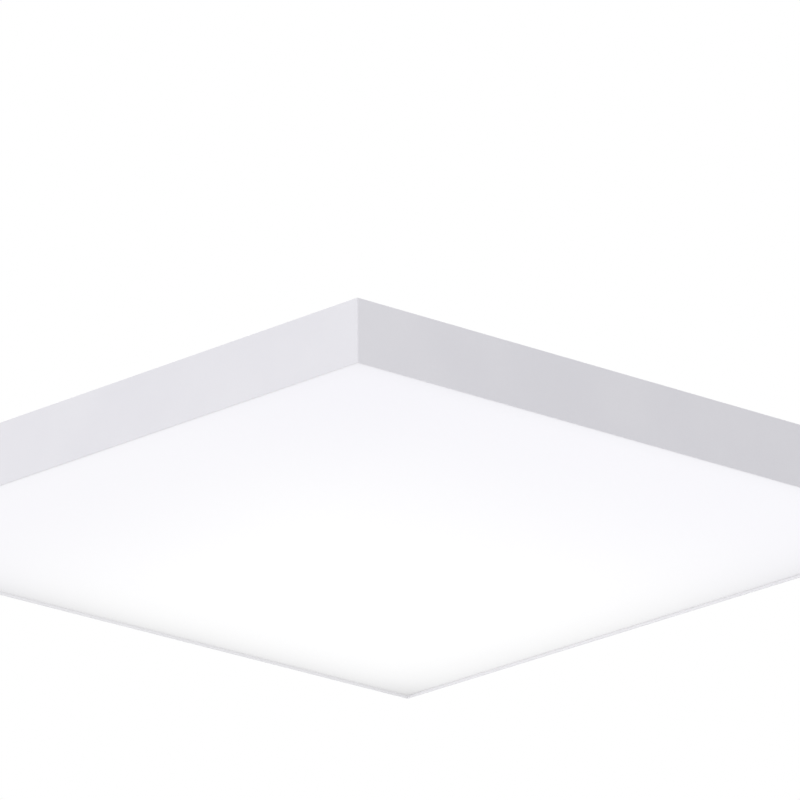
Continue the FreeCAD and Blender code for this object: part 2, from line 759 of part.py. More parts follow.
def ceiling_pan():
    body = new_body("ceiling_pan")
    outline = sketch_on(body, "pan_outline")
    add_box(outline, -pan_half, pan_half, -pan_half, pan_half)
    pad(body, outline, d.pan_flange)
    flange_end = -d.pan_flange.value
    upright = [
        name
        for name in edges_where(body, lambda point: True)
        if abs(body.Shape.getElement(name).BoundBox.ZLength + flange_end) < 1e-6
    ]
    dress(body, "Fillet", upright, d.pan_corner)
    dress(body, "Fillet", edges_where(body, lambda point: abs(point.z) < 1e-6), d.pan_bend)
    doc.recompute()
    open_side = next(
        f"Face{number}"
        for number, face in enumerate(body.Shape.Faces, start=1)
        if face.BoundBox.ZMax < flange_end + 1e-6
    )
    base = body.Tip
    shell = body.newObject("PartDesign::Thickness", "pan_shell")
    shell.Base = (base, [open_side])
    shell.Reversed = True
    bind(shell, "Value", d.pan_sheet)

    press(body, "beads", d.bead_press, draw_beads)
    press(body, "pads", d.catch_pad_press, draw_pads)
    press(body, "dish", d.entry_press, draw_entry)

    slots = sketch_on(body, "mount_slots")
    for x, y in corners(mount_half, mount_half):
        add_slot(slots, x, y, d.slot_length, d.slot_width)
    cut(body, slots)
    holes(body, "entry", [(0, d.entry_y)], d.entry_hole)
    clear = d.fit_gap / 4
    holes(body, "rivet_holes", on_all_sides(catch_rivet_places()), d.rivet_radius + clear)
    holes(body, "screw_holes", driver_screw_places() + terminal_screw_places(), d.screw_radius + clear)
    holes(body, "stud_hole", [(d.stud_x, d.stud_y)], d.stud_radius + clear)

    welds = sketch_on(body, "weld_marks")
    for line in rail_lines():
        for number in range(int(d.weld_count.value)):
            add_circle(welds, (number - (d.weld_count - 1) / 2) * d.weld_pitch, line, d.weld_radius)
    cut(body, welds, d.weld_press)

    for plane in ("XZ_Plane", "YZ_Plane"):
        windows = sketch_on(body, "windows_" + plane[:2], plane)
        reach = nose_reach + d.fit_gap
        for end in (-1, 1):
            middle = end * d.catch_spacing / 2
            side = d.catch_width / 2 + 1
            add_box(windows, middle - side, middle + side, nose_level - reach, nose_level + reach)
        cut(body, windows, both_ways=True)
    return body


def catch_springs():
    """Eight spring strips, riveted under the pan, whose noses stand out through its windows."""
    body = new_body("catch_springs")
    strip = d.catch_strip
    foot_top = pan_under - d.catch_pad_press
    foot_end = catch_pad_end - 2
    leg = leg_inset
    inner = leg + strip
    nose_top = nose_level + nose_reach
    nose_low = nose_level - nose_reach
    slant = (math.sqrt(2) - 1) * strip
    tail = d.catch_tail
    outline = [
        (foot_end, foot_top),
        (leg, foot_top),
        (leg, nose_top),
        (nose_inset, nose_level),
        (leg, nose_low),
        (leg + tail / 2, nose_low - tail),
        (inner + tail / 2, nose_low - tail),
        (inner, nose_low + slant),
        (nose_inset + math.sqrt(2) * strip, nose_level),
        (inner, nose_top - slant),
        (inner, foot_top - strip),
        (foot_end, foot_top - strip),
    ]
    strips = []
    for end in (-1, 1):
        level = end * d.catch_spacing / 2 + d.catch_width / 2
        section = sketch_on(body, f"strip_{end + 2}", "YZ_Plane", level=level)
        add_outline(section, [(inset - half, height) for inset, height in outline])
        strips.append(pad(body, section, d.catch_width))
    around(body, strips, 4)
    holes(body, "strip_holes", on_all_sides(catch_rivet_places()), d.rivet_radius + d.fit_gap / 4)
    return body


def catch_rivets():
    """Two rivets through each catch spring's foot."""
    body = new_body("catch_rivets")
    places = catch_rivet_places()
    seat = -d.catch_pad_press
    foot_under = pan_under - d.catch_pad_press - d.catch_strip
    shank = discs(body, "rivet_shanks", places, d.rivet_radius, seat, foot_under)
    height = d.rivet_head_height
    upper = discs(body, "rivet_heads", places, d.rivet_head, seat + height, seat)
    lower = discs(body, "rivet_tails", places, d.rivet_head, foot_under, foot_under - height)
    around(body, [shank, upper, lower], 4)
    return body


def tray_rail(name, side):
    """A top-hat rail welded under the pan, which carries the reflector tray."""
    body = new_body(name)
    middle = side * rail_offset
    crown = d.rail_crown / 2
    foot = crown + d.rail_foot
    t = d.rail_sheet
    outline = [
        (-foot, pan_under),
        (-crown + t, pan_under),
        (-crown + t, gear + t),
        (crown - t, gear + t),
        (crown - t, pan_under),
        (foot, pan_under),
        (foot, pan_under - t),
        (crown, pan_under - t),
        (crown, gear),
        (-crown, gear),
        (-crown, pan_under - t),
        (-foot, pan_under - t),
    ]
    section = sketch_on(body, name + "_section", "YZ_Plane")
    add_outline(section, [(middle + y, z) for y, z in outline])
    pad(body, section, 2 * (pan_half - d.rail_end_gap), both_ways=True)
    slots = sketch_on(body, name + "_slots")
    for x in (-knob_x, knob_x):
        add_slot(slots, x, middle, d.knob_slot_length, d.knob_slot_width)
    cut(body, slots)
    return body


def turned_part(name, outline, x=0, y=0):
    """A round part from its half section, as (radius, height), standing at a place."""
    body = new_body(name)
    section = sketch_on(body, name + "_section", "XZ_Plane")
    add_outline(section, outline)
    revolve(body, section)
    body.Placement = Placement(Vector(size(x).value, size(y).value, 0), Rotation())
    bind(body, "Placement.Base.x", x)
    bind(body, "Placement.Base.y", y)
    return body


def grommet(name, x, y, sheet_top, sheet_under, hole, bore, flange, lip):
    """A rubber grommet: two flanges with the sheet between them."""
    waist = hole - d.fit_gap / 4
    clear = d.fit_gap / 4
    outline = [
        (bore, sheet_top + lip),
        (flange - lip / 2, sheet_top + lip),
        (flange, sheet_top + lip / 2),
        (flange, sheet_top + clear),
        (waist, sheet_top + clear),
        (waist, sheet_under - clear),
        (flange, sheet_under - clear),
        (flange, sheet_under - lip / 2),
        (flange - lip / 2, sheet_under - lip),
        (bore, sheet_under - lip),
    ]
    return turned_part(name, outline, x, y)


# ---------------------------------------------------------------------------------------------
# Reflector tray, light bars and knobs
# ---------------------------------------------------------------------------------------------


def led_rows():
    """Each row's place across the light."""
    return [led_first + row * led_pitch for row in range(int(d.led_count.value))]


def pin_places(y):
    """The rivets of one bar, each halfway between two light sources."""
    return [(x * led_pitch, y) for x in (-3.5, 0.5, 3.5)]


def square_at(body, name, side, level):
    sketch = sketch_on(body, name, level=level)
    add_box(sketch, -side, side, -side, side)
    return sketch


def reflector_tray():
    """White sheet, flat in the middle, that slopes down to its edge all round."""
    body = new_body("reflector_tray")
    start = half - d.tray_slope_start
    end = half - tray_slope_end
    low = gear - d.tray_drop
    outside = body.newObject("PartDesign::AdditiveLoft", "tray_outside")
    outside.Profile = square_at(body, "outside_top", start, gear)
    outside.Sections = [square_at(body, "outside_low", end, low)]
    inside = body.newObject("PartDesign::SubtractiveLoft", "tray_inside")
    inside.Profile = square_at(body, "inside_top", start, tray_under)
    inside.Sections = [square_at(body, "inside_low", end, low - d.tray_sheet)]
    inner = end - d.tray_sheet * (end - start) / d.tray_drop
    edge = half - tray_edge
    rim_sketch = square_at(body, "tray_rim", edge, low)
    add_box(rim_sketch, -inner, inner, -inner, inner)
    pad(body, rim_sketch, d.tray_sheet)
    holes(body, "knob_holes", corners(knob_x, rail_offset), d.knob_hole)
    holes(body, "access_holes", corners(mount_half, mount_half), d.access_radius)
    holes(body, "gland_hole", [(-plug_x, d.gland_y)], d.gland_hole)
    pins = sketch_on(body, "pin_holes")
    for x, y in pin_places(led_first):
        add_circle(pins, x, y, d.pin_radius + d.fit_gap / 4)
    first_row = cut(body, pins)
    in_rows(body, [first_row], led_pitch, d.led_count)
    return body


def light_bar(number, y):
    """The board of one light bar, with holes for its rivets."""
    body = new_body(f"light_bar_{number}")
    width = d.bar_width / 2
    block(body, f"board_{number}", -bar_half, bar_half, y - width, y + width, tray_under, board_under)
    holes(body, f"bar_holes_{number}", pin_places(y), d.pin_radius + d.fit_gap / 4)
    return body


def light_sources():
    """The light sources on the bars, one small block each."""
    body = new_body("light_sources")
    x, y = d.chip_length / 2, d.chip_width / 2
    first = block(
        body, "chip", led_first - x, led_first + x, led_first - y, led_first + y, board_under,
        board_under - d.chip_height,
    )
    in_rows(body, [first], led_pitch, d.led_count, "X_Axis", "Y_Axis")
    return body


def lenses():
    """A clear dome over each light source, with a dimple in its crown that spreads the light."""
    body = new_body("lenses")
    section = sketch_on(body, "lens_section", "XZ_Plane")
    crown = board_under - d.lens_height
    skirt = board_under - d.lens_height * 0.3
    shoulder = board_under - d.lens_height * 0.75
    add_outline(
        section,
        [
            (d.lens_bore, board_under),
            (d.lens_radius, board_under),
            (d.lens_radius, skirt),
            (d.lens_radius * 0.86, shoulder),
            (d.lens_radius * 0.62, crown + d.lens_height * 0.06),
            (d.lens_radius * 0.34, crown),
            (d.lens_radius * 0.12, crown + d.lens_height * 0.1),
            (0, crown + d.lens_height * 0.14),
            (0, board_under - d.chip_height * 3),
            (d.lens_bore * 0.7, board_under - d.chip_height * 2.4),
        ],
    )
    revolve(body, section)
    body.Placement = Placement(Vector(led_first.value, led_first.value, 0), Rotation())
    bind(body, "Placement.Base.x", led_first)
    bind(body, "Placement.Base.y", led_first)
    in_rows(body, [body.Tip], led_pitch, d.led_count, "X_Axis", "Y_Axis")
    return body


def bar_rivets():
    """Push rivets that hold the bars to the tray: head below the board, spread end above the tray."""
    body = new_body("bar_rivets")
    places = pin_places(led_first)
    shank = discs(body, "pin_shanks", places, d.pin_radius, gear, board_under)
    head = discs(body, "pin_heads", places, d.pin_head, board_under, board_under - d.pin_head_height)
    tail = discs(body, "pin_tails", places, d.pin_radius + d.pin_spread, gear + d.pin_tail, gear)
    in_rows(body, [shank, head, tail], led_pitch, d.led_count)
    return body


def plug(body, name, x, y):
    along, across = d.plug_length / 2, d.plug_width / 2
    return block(
        body, name, x - along, x + along, y - across, y + across, board_under, board_under - d.plug_height
    )


def bar_connectors():
    """A connector at the end of each bar."""
    body = new_body("bar_connectors")
    first = plug(body, "bar_plug", plug_x, led_first)
    in_rows(body, [first], led_pitch, d.led_count)
    return body


def feed_connector():
    """The connector that takes the driver's output leads, on the middle bar."""
    body = new_body("feed_connector")
    plug(body, "feed_plug", -plug_x, 0)
    return body


def jumper_wires(name, offset):
    """One wire from each bar's connector to the next, bowed a little outwards."""
    x = plug_x + offset
    z = board_under - d.plug_height / 2
    links = []
    for y in led_rows()[:-1]:
        start, end = y + d.plug_width / 2, y + led_pitch - d.plug_width / 2
        quarter = (end - start) / 4
        points = [
            (x, start, z),
            (x, start + quarter, z),
            (x + d.wire_bow, start + 2 * quarter, z - d.wire_sag),
            (x, end - quarter, z),
            (x, end, z),
        ]
        links.append(wire_tube(points, d.wire_radius))
    return solid_node(name, Part.makeCompound(links))


def tray_knob(name, x, y):
    """Quarter-turn knob: its wings lie across the rail's slot, above the rail's crown."""
    body = new_body(name)
    head_top = tray_under - d.fit_gap
    head_under = head_top - d.knob_head_height
    wing_under = gear + d.rail_sheet + d.fit_gap
    wing_top = wing_under + d.knob_wing_height
    discs(body, name + "_shaft", [(0, 0)], d.knob_shaft, wing_top, head_top)
    discs(body, name + "_head", [(0, 0)], d.knob_head, head_top, head_under)
    wing, wing_side = d.knob_wing / 2, d.knob_wing_width / 2
    block(body, name + "_wings", -wing_side, wing_side, -wing, wing, wing_top, wing_under)
    grip, grip_side = d.knob_head - 1, d.knob_grip_width / 2
    grip_under = head_under - d.knob_grip_height
    block(body, name + "_grip", -grip_side, grip_side, -grip, grip, head_under, grip_under)
    body.Placement = Placement(Vector(x.value, y.value, 0), Rotation())
    bind(body, "Placement.Base.x", x)
    bind(body, "Placement.Base.y", y)
    return body


# ---------------------------------------------------------------------------------------------
# Driver, terminal block and wiring
# ---------------------------------------------------------------------------------------------


def driver_screw_places():
    x = (d.driver_length + d.driver_ear) / 2
    return [(-x, d.driver_y), (x, d.driver_y)]


def driver_box(body, name, top, bottom):
    x, y = d.driver_length / 2, d.driver_width / 2
    return block(body, name, -x, x, d.driver_y - y, d.driver_y + y, top, bottom)


def hollow(body, name, level, depth, up=False):
    """Cuts out the inside of the driver's case or lid."""
    x = d.driver_length / 2 - d.driver_wall
    y = d.driver_width / 2 - d.driver_wall
    sketch = sketch_on(body, name, level=level)
    add_box(sketch, -x, x, d.driver_y - y, d.driver_y + y)
    return cut(body, sketch, depth, up=up)


def port_holes(body, name):
    """Holes for the leads, half in the case and half in the lid: mains at +X, output at -X."""
    for end, spread, radius in ((1, d.mains_spread, d.mains_radius), (-1, d.wire_spread, d.wire_radius)):
        level = end * (d.driver_length / 2 + 1)
        sketch = sketch_on(body, f"{name}_{end + 1}", "YZ_Plane", level=level)
        for side in (-1, 1):
            add_circle(sketch, d.driver_y + side * spread, -d.lead_depth, radius + d.driver_port_play)
        cut(body, sketch, d.driver_wall + 2, up=end < 0)


def driver_case():
    """The half of the driver's case that is screwed to the pan, with an ear at each end."""
    body = new_body("driver_case")
    driver_box(body, "case_block", pan_under, driver_split)
    ear = d.driver_length / 2 + d.driver_ear
    ear_side = d.driver_width / 4
    block(
        body, "case_ears", -ear, ear, d.driver_y - ear_side, d.driver_y + ear_side, pan_under,
        pan_under - d.driver_ear_height,
    )
    hollow(body, "case_inside", driver_floor, d.lead_depth)
    holes(body, "case_screws", driver_screw_places(), d.screw_radius + d.fit_gap)
    # four posts that carry the board
    inset = d.driver_post_inset
    posts = [(x, d.driver_y + y) for x, y in corners(d.driver_length / 2 - inset, d.driver_width / 2 - inset)]
    discs(body, "case_posts", posts, d.driver_post, driver_floor, board_level)
    port_holes(body, "case_ports")
    return body


def driver_lid():
    """The snap-on lid of the driver."""
    body = new_body("driver_lid")
    top = driver_split
    bottom = pan_under - d.driver_height
    driver_box(body, "lid_block", top, bottom)
    doc.recompute()
    dress(body, "Fillet", edges_where(body, lambda point: abs(point.z - bottom.value) < 1e-6), d.driver_edge)
    hollow(body, "lid_inside", top, top - bottom - d.driver_wall)
    port_holes(body, "lid_ports")
    return body


def driver_board():
    """The driver's circuit board, resting on the case's posts."""
    body = new_body("driver_board")
    under = board_level - d.driver_board_thickness
    y = d.driver_y
    block(body, "board", -board_x, board_x, y - board_y, y + board_y, board_level, under)
    return body


def driver_components():
    """The large components on the driver's board."""
    body = new_body("driver_components")
    top = board_level - d.driver_board_thickness
    room = pan_under - d.driver_height + d.driver_wall + d.component_gap
    # each block: place along and across and half width as shares of the half board, half length,
    # share of the height
    for name, along, across, wide, reach, share in (
        ("transformer", 0.15, 0, 0.62, 10, 1),
        ("choke", -0.36, -0.44, 0.34, 7, 0.9),
        ("film_capacitor", 0.7, 0.44, 0.2, 8, 0.95),
        ("bridge", 0.46, -0.5, 0.15, 5, 0.7),
        ("heat_sink", 0.02, -0.84, 0.09, 16, 0.95),
    ):
        x, y, side = along * board_x, d.driver_y + across * board_y, wide * board_y
        block(body, name, x - reach, x + reach, y - side, y + side, top, top - share * (top - room))
    # each can: place as shares of the half board, radius, share of the height
    for name, along, across, radius, share in (
        ("electrolytic_1", -0.6, 0.4, 5, 1),
        ("electrolytic_2", -0.76, -0.4, 5, 1),
        ("electrolytic_3", -0.45, 0.5, 5, 1),
        ("varistor", 0.83, -0.45, 3.5, 0.7),
    ):
        place = (along * board_x, d.driver_y + across * board_y)
        discs(body, name, [place], radius, top, top - share * (top - room))
    return body


def pan_head_screws(name, places, head_top):
    """Screws from below into the pan, whose tips stay below the ceiling face."""
    body = new_body(name)
    discs(body, name + "_shanks", places, d.screw_radius, -d.fit_gap, head_top)
    discs(body, name + "_heads", places, d.screw_head, head_top, head_top - d.screw_head_height)
    return body


def terminal_poles():
    return [d.terminal_y + pole * d.terminal_pole for pole in (-1, 0, 1)]


def terminal_screw_places():
    y = (3 * d.terminal_pole + d.terminal_ear) / 2
    return [(d.terminal_x, d.terminal_y - y), (d.terminal_x, d.terminal_y + y)]


def button_x():
    return d.terminal_x - d.button_offset


def terminal_block():
    """Three-pole terminal block: wire ports on both faces and a well for each release button."""
    body = new_body("terminal_block")
    x0, x1 = d.terminal_x - d.terminal_length / 2, d.terminal_x + d.terminal_length / 2
    side = 3 * d.terminal_pole / 2
    ear = side + d.terminal_ear
    y = d.terminal_y
    block(body, "terminal_body", x0, x1, y - side, y + side, pan_under, terminal_under)
    ear_x = d.terminal_ear / 2
    ears_under = pan_under - d.terminal_ear_height
    block(
        body, "terminal_ears", d.terminal_x - ear_x, d.terminal_x + ear_x, y - ear, y + ear, pan_under,
        ears_under,
    )
    ports_in = sketch_on(body, "ports_in", "YZ_Plane", level=x0)
    ports_out = sketch_on(body, "ports_out", "YZ_Plane", level=x1)
    for pole in terminal_poles():
        add_circle(ports_in, pole, -d.lead_depth, d.terminal_port)
        add_circle(ports_out, pole, -d.lead_depth, d.terminal_port)
    cut(body, ports_in, d.terminal_port_depth, up=True)
    cut(body, ports_out, d.terminal_port_depth)
    wells = sketch_on(body, "button_wells", level=terminal_under)
    reach = d.button_side / 2 + d.button_play
    for pole in terminal_poles():
        add_box(wells, button_x() - reach, button_x() + reach, pole - reach, pole + reach)
    cut(body, wells, d.button_well, up=True)
    holes(body, "ear_holes", terminal_screw_places(), d.screw_radius + d.fit_gap)
    return body


def release_button(name, pole):
    """A release button in its well, standing out below the terminal block."""
    body = new_body(name)
    reach = d.button_side / 2
    bottom = terminal_under - d.button_proud
    x = button_x()
    block(
        body, name + "_block", x - reach, x + reach, pole - reach, pole + reach, bottom + d.button_height,
        bottom,
    )
    return body


def mains_lead(name, pole, side):
    """A lead from the terminal block round to the driver's input end, clear of the one inside it."""
    x = d.terminal_x + d.terminal_length / 2
    z = -d.lead_depth
    end = d.driver_length / 2
    wire_y = d.driver_y + side * d.mains_spread
    nest = (pole - d.terminal_y) * 0.4
    middle = (pole + d.driver_y) / 2
    points = [
        (x - d.lead_insert, pole, z),
        (x + 12, pole, z),
        (x + 30 + nest, middle + 24, z),
        (x + 32 + nest, middle - 8, z),
        (end + 20 + nest, wire_y, z),
        (end - d.lead_insert, wire_y, z),
    ]
    return solid_node(name, wire_tube(points, d.mains_radius))


def output_lead(name, side):
    """A lead from the driver's output end, through the tray's grommet, into the side of the feed connector."""
    start = -d.driver_length / 2
    z = -d.lead_depth
    offset = side * d.wire_spread
    y = d.gland_y + d.gland_lean + offset
    x = -plug_x - offset
    down = board_under - d.plug_height / 2
    run = -plug_x - start
    aside = offset / 2
    points = [
        (start + d.lead_insert, d.driver_y + offset, z),
        (start - 22, d.driver_y + offset, z),
        (start + 0.34 * run + aside, d.driver_y + 34 + offset, z),
        (start + 0.56 * run + aside, y - 26, z),
        (start + 0.78 * run + aside, y, z),
        (x, y, z),
        (x, y, down),
        (x, d.plug_width / 2, down),
    ]
    return solid_node(name, wire_tube(points, d.wire_radius))


def earth_stud():
    body = new_body("earth_stud")
    place = [(d.stud_x, d.stud_y)]
    discs(body, "stud_shank", place, d.stud_radius, -d.fit_gap, pan_under - d.stud_length)
    discs(body, "stud_collar", place, d.collar_radius, pan_under, pan_under - d.collar_height)
    return body


def ring_top():
    return pan_under - d.collar_height


def earth_ring():
    """Ring terminal of the earth lead: a flat ring with a barrel for the wire."""
    body = new_body("earth_ring")
    top = ring_top()
    under = top - d.ring_thickness
    place = [(d.stud_x, d.stud_y)]
    discs(body, "ring", place, d.ring_radius, top, under)
    neck = d.ring_radius - d.barrel_neck
    neck_end = d.stud_y - d.ring_radius - d.barrel_neck
    block(body, "ring_neck", d.stud_x - neck / 2, d.stud_x + neck / 2, neck_end, d.stud_y - neck, top, under)
    # the XZ plane looks towards -Y, so a level there is minus the place along Y
    barrel = sketch_on(body, "ring_barrel", "XZ_Plane", level=-neck_end)
    add_circle(barrel, d.stud_x, barrel_axis, d.barrel_radius)
    pad(body, barrel, d.barrel_length, up=True)
    holes(body, "ring_hole", place, d.stud_radius + d.fit_gap / 2)
    bore = sketch_on(body, "ring_bore", "XZ_Plane", level=d.barrel_length - neck_end)
    add_circle(bore, d.stud_x, barrel_axis, d.mains_radius + d.fit_gap / 4)
    cut(body, bore, d.barrel_length - 1)
    return body


def earth_nut():
    """Hexagon nut on the earth stud."""
    top = ring_top() - d.ring_thickness
    nut = doc.addObject("Part::Prism", "earth_nut_blank")
    nut.Polygon = 6
    bind(nut, "Circumradius", d.nut_across / math.sqrt(3))
    bind(nut, "Height", d.nut_height)
    bore = doc.addObject("Part::Cylinder", "earth_nut_bore")
    bind(bore, "Radius", d.stud_radius + d.fit_gap / 4)
    bind(bore, "Height", d.nut_height)
    for piece in (nut, bore):
        bind(piece, "Placement.Base.x", d.stud_x)
        bind(piece, "Placement.Base.y", d.stud_y)
        bind(piece, "Placement.Base.z", top - d.nut_height)
    whole = doc.addObject("Part::Cut", "earth_nut")
    whole.Label = "earth_nut"
    whole.Base = nut
    whole.Tool = bore
    return whole


def earth_lead():
    """A lead from the terminal block's earth pole to the ring terminal."""
    x = d.terminal_x + d.terminal_length / 2
    pole = terminal_poles()[2]
    z = -d.lead_depth
    end = d.stud_y - d.ring_radius - d.barrel_neck - d.barrel_length + 2
    points = [
        (x - d.lead_insert, pole, z),
        (x + 10, pole, z),
        (x + 24, pole + 2, z + 1),
        (d.stud_x, end - 8, barrel_axis),
        (d.stud_x, end, barrel_axis),
    ]
    return solid_node("earth_lead", wire_tube(points, d.mains_radius))


# ---------------------------------------------------------------------------------------------
# Assembly
# ---------------------------------------------------------------------------------------------

SIDES = (("front", 0), ("right", 90), ("rear", 180), ("left", 270))
KEYS = (("front_left", 0), ("front_right", 90), ("rear_right", 180), ("rear_left", 270))


def build():
    nodes = [frame_profile(f"frame_{name}", turn) for name, turn in SIDES]
    nodes += [corner_key(f"corner_key_{name}", turn) for name, turn in KEYS]
    nodes += [corner_key_screws(), diffuser()]

    nodes += [ceiling_pan(), catch_springs(), catch_rivets()]
    nodes += [tray_rail("tray_rail_front", -1), tray_rail("tray_rail_rear", 1)]
    dish = -d.entry_press
    nodes.append(
        grommet(
            "cable_grommet", 0, d.entry_y, dish, dish - d.pan_sheet, d.entry_hole, d.entry_bore,
            d.entry_flange, d.entry_lip,
        )
    )

    nodes.append(reflector_tray())
    nodes += [light_bar(number, y) for number, y in enumerate(led_rows(), start=1)]
    nodes += [light_sources(), lenses(), bar_rivets(), bar_connectors(), feed_connector()]
    nodes += [
        jumper_wires("jumper_wires_plus", d.wire_spread),
        jumper_wires("jumper_wires_minus", -d.wire_spread),
    ]
    nodes.append(
        grommet(
            "lead_grommet", -plug_x, d.gland_y, gear, tray_under, d.gland_hole, d.gland_bore,
            d.gland_flange, d.gland_lip,
        )
    )
    for number, (x, y) in enumerate(corners(knob_x, rail_offset), start=1):
        nodes.append(tray_knob(f"tray_knob_{number}", x, y))

    nodes += [driver_case(), driver_lid(), driver_board(), driver_components()]
    nodes.append(pan_head_screws("driver_screws", driver_screw_places(), pan_under - d.driver_ear_height))
    nodes.append(terminal_block())
    for number, pole in enumerate(terminal_poles(), start=1):
        nodes.append(release_button(f"release_button_{number}", pole))
    nodes.append(
        pan_head_screws("terminal_screws", terminal_screw_places(), pan_under - d.terminal_ear_height)
    )
    neutral, live, earth = terminal_poles()
    nodes.append(mains_lead("neutral_lead", neutral, 1))
    nodes.append(mains_lead("live_lead", live, -1))
    nodes += [earth_stud(), earth_ring(), earth_nut(), earth_lead()]
    nodes += [output_lead("output_lead_plus", 1), output_lead("output_lead_minus", -1)]
    return nodes


def write(nodes):
    """Checks every object of the document and every node's solid, then writes one file per node."""
    doc.recompute()
    for thing in doc.Objects:
        if "Invalid" in thing.State or "Error" in thing.State:
            raise RuntimeError(f"{thing.Name} failed: {thing.State}")
    os.makedirs("parts", exist_ok=True)
    for node in nodes:
        shape = node.Shape
        if shape.isNull() or not shape.isValid() or not shape.Solids:
            raise RuntimeError(f"{node.Label} has no valid solid")
        shape.exportStep(f"parts/{node.Label}.step")
        print(f"{node.Label}: {len(shape.Solids)} solid(s), {shape.Volume:.1f} mm3")


write(build())
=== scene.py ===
import math

import bmesh
import bpy
from mathutils import Matrix, Vector


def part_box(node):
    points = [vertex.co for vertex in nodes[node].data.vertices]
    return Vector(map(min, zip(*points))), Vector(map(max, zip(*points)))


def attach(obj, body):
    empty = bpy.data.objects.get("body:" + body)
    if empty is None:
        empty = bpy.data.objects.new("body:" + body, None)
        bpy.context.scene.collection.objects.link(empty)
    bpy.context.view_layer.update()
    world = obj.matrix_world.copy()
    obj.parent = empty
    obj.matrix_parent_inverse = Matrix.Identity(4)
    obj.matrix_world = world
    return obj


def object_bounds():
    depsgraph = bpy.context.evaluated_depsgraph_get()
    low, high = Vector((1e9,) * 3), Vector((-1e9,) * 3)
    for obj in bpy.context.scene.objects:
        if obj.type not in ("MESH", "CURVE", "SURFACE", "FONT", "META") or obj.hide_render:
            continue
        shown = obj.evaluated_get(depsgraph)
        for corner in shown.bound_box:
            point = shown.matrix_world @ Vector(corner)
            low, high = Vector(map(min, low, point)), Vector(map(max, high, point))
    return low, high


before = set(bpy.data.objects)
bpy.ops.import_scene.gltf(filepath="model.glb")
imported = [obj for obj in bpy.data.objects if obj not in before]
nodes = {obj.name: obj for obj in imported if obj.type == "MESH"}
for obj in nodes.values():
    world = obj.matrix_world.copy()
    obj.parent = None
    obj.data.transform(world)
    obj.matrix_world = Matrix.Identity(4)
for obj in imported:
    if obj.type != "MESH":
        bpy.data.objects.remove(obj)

scene = bpy.context.scene
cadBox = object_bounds()
rimLevel = cadBox[0].z             # the lowest level of the light
halfSide = cadBox[1].x
mm = 0.001

print("frame loaded:", len(nodes), "pieces")


def middle(name):
    # the middle of a CAD piece's box
    low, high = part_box(name)
    return (low + high) / 2


class Signal:
    # one outlet of a shader node; it adds Math nodes when it is used in an expression
    def __init__(self, owner, node, outlet=0):
        self.owner = owner
        self.node = node
        self.socket = node.outputs[outlet] if node.outputs else None

    def outlet(self, name):
        return Signal(self.owner, self.node, name)

    def join(self, operation, *terms):
        return self.owner.node("ShaderNodeMath", {"operation": operation}, dict(enumerate(terms)))

    def __add__(self, other):
        return self.join("ADD", self, other)

    def __radd__(self, other):
        return self.join("ADD", other, self)

    def __sub__(self, other):
        return self.join("SUBTRACT", self, other)

    def __rsub__(self, other):
        return self.join("SUBTRACT", other, self)

    def __mul__(self, other):
        return self.join("MULTIPLY", self, other)

    def __rmul__(self, other):
        return self.join("MULTIPLY", other, self)

    def __truediv__(self, other):
        return self.join("DIVIDE", self, other)

    def __rtruediv__(self, other):
        return self.join("DIVIDE", other, self)

    def __pow__(self, other):
        return self.join("POWER", self, other)

    def __mod__(self, other):
        return self.join("FLOORED_MODULO", self, other)

    def __abs__(self):
        return self.join("ABSOLUTE", self)

    def __gt__(self, other):
        return self.join("GREATER_THAN", self, other)

    def __lt__(self, other):
        return self.join("LESS_THAN", self, other)

    def most(self, other):
        return self.join("MAXIMUM", self, other)

    def fade(self, length):
        # 1 at zero, dying away over this length
        return self.join("EXPONENT", self / -length)

    def rise(self, low, high):
        # 0 below low, 1 above high, eased in between
        sockets = {"Value": self, "From Min": low, "From Max": high}
        return self.owner.node("ShaderNodeMapRange", {"interpolation_type": "SMOOTHSTEP"}, sockets)

    def fall(self, low, high):
        return 1 - self.rise(low, high)

    def above(self, level, softness):
        return self.rise(level - softness, level + softness)

    def below(self, level, softness):
        return self.fall(level - softness, level + softness)


def folded(signal, pitch):
    # distance from the nearest of many places, a pitch apart
    return abs((signal + pitch / 2) % pitch - pitch / 2)


def diagonal(first, second):
    return (first * first + second * second) ** 0.5


def scattered(level, pattern, spread):
    # values round a level, from a pattern that runs from 0 to 1
    return level + (pattern - 0.5) * spread


def weighted(patterns, weights):
    return sum(patterns[name] * weight for name, weight in weights.items())


class NodeTree:
    # a shader tree; every node in it is made by node()
    def __init__(self, tree):
        self.tree = tree
        self.tree.nodes.clear()

    def put(self, socket, value):
        if isinstance(value, Signal):
            self.tree.links.new(value.socket, socket)
        elif isinstance(value, tuple) and len(value) == 3 and len(socket.default_value) == 4:
            socket.default_value = (*value, 1.0)
        else:
            socket.default_value = value

    def node(self, kind, settings, sockets, outlet=0):
        made = self.tree.nodes.new(kind)
        for name, value in settings.items():
            setattr(made, name, value)
        for name, value in sockets.items():
            self.put(made.inputs[name], value)
        return Signal(self, made, outlet)

    def mix(self, factor, first, second):
        return self.node("ShaderNodeMix", {"data_type": "RGBA"}, {0: factor, 6: first, 7: second}, 2)

    def seenDirectly(self):
        # 1 for camera, glossy and transmission rays, so that metal and glass show the white surroundings too
        path = self.node("ShaderNodeLightPath", {}, {}, "Is Camera Ray")
        return path.most(path.outlet("Is Glossy Ray")).most(path.outlet("Is Transmission Ray"))


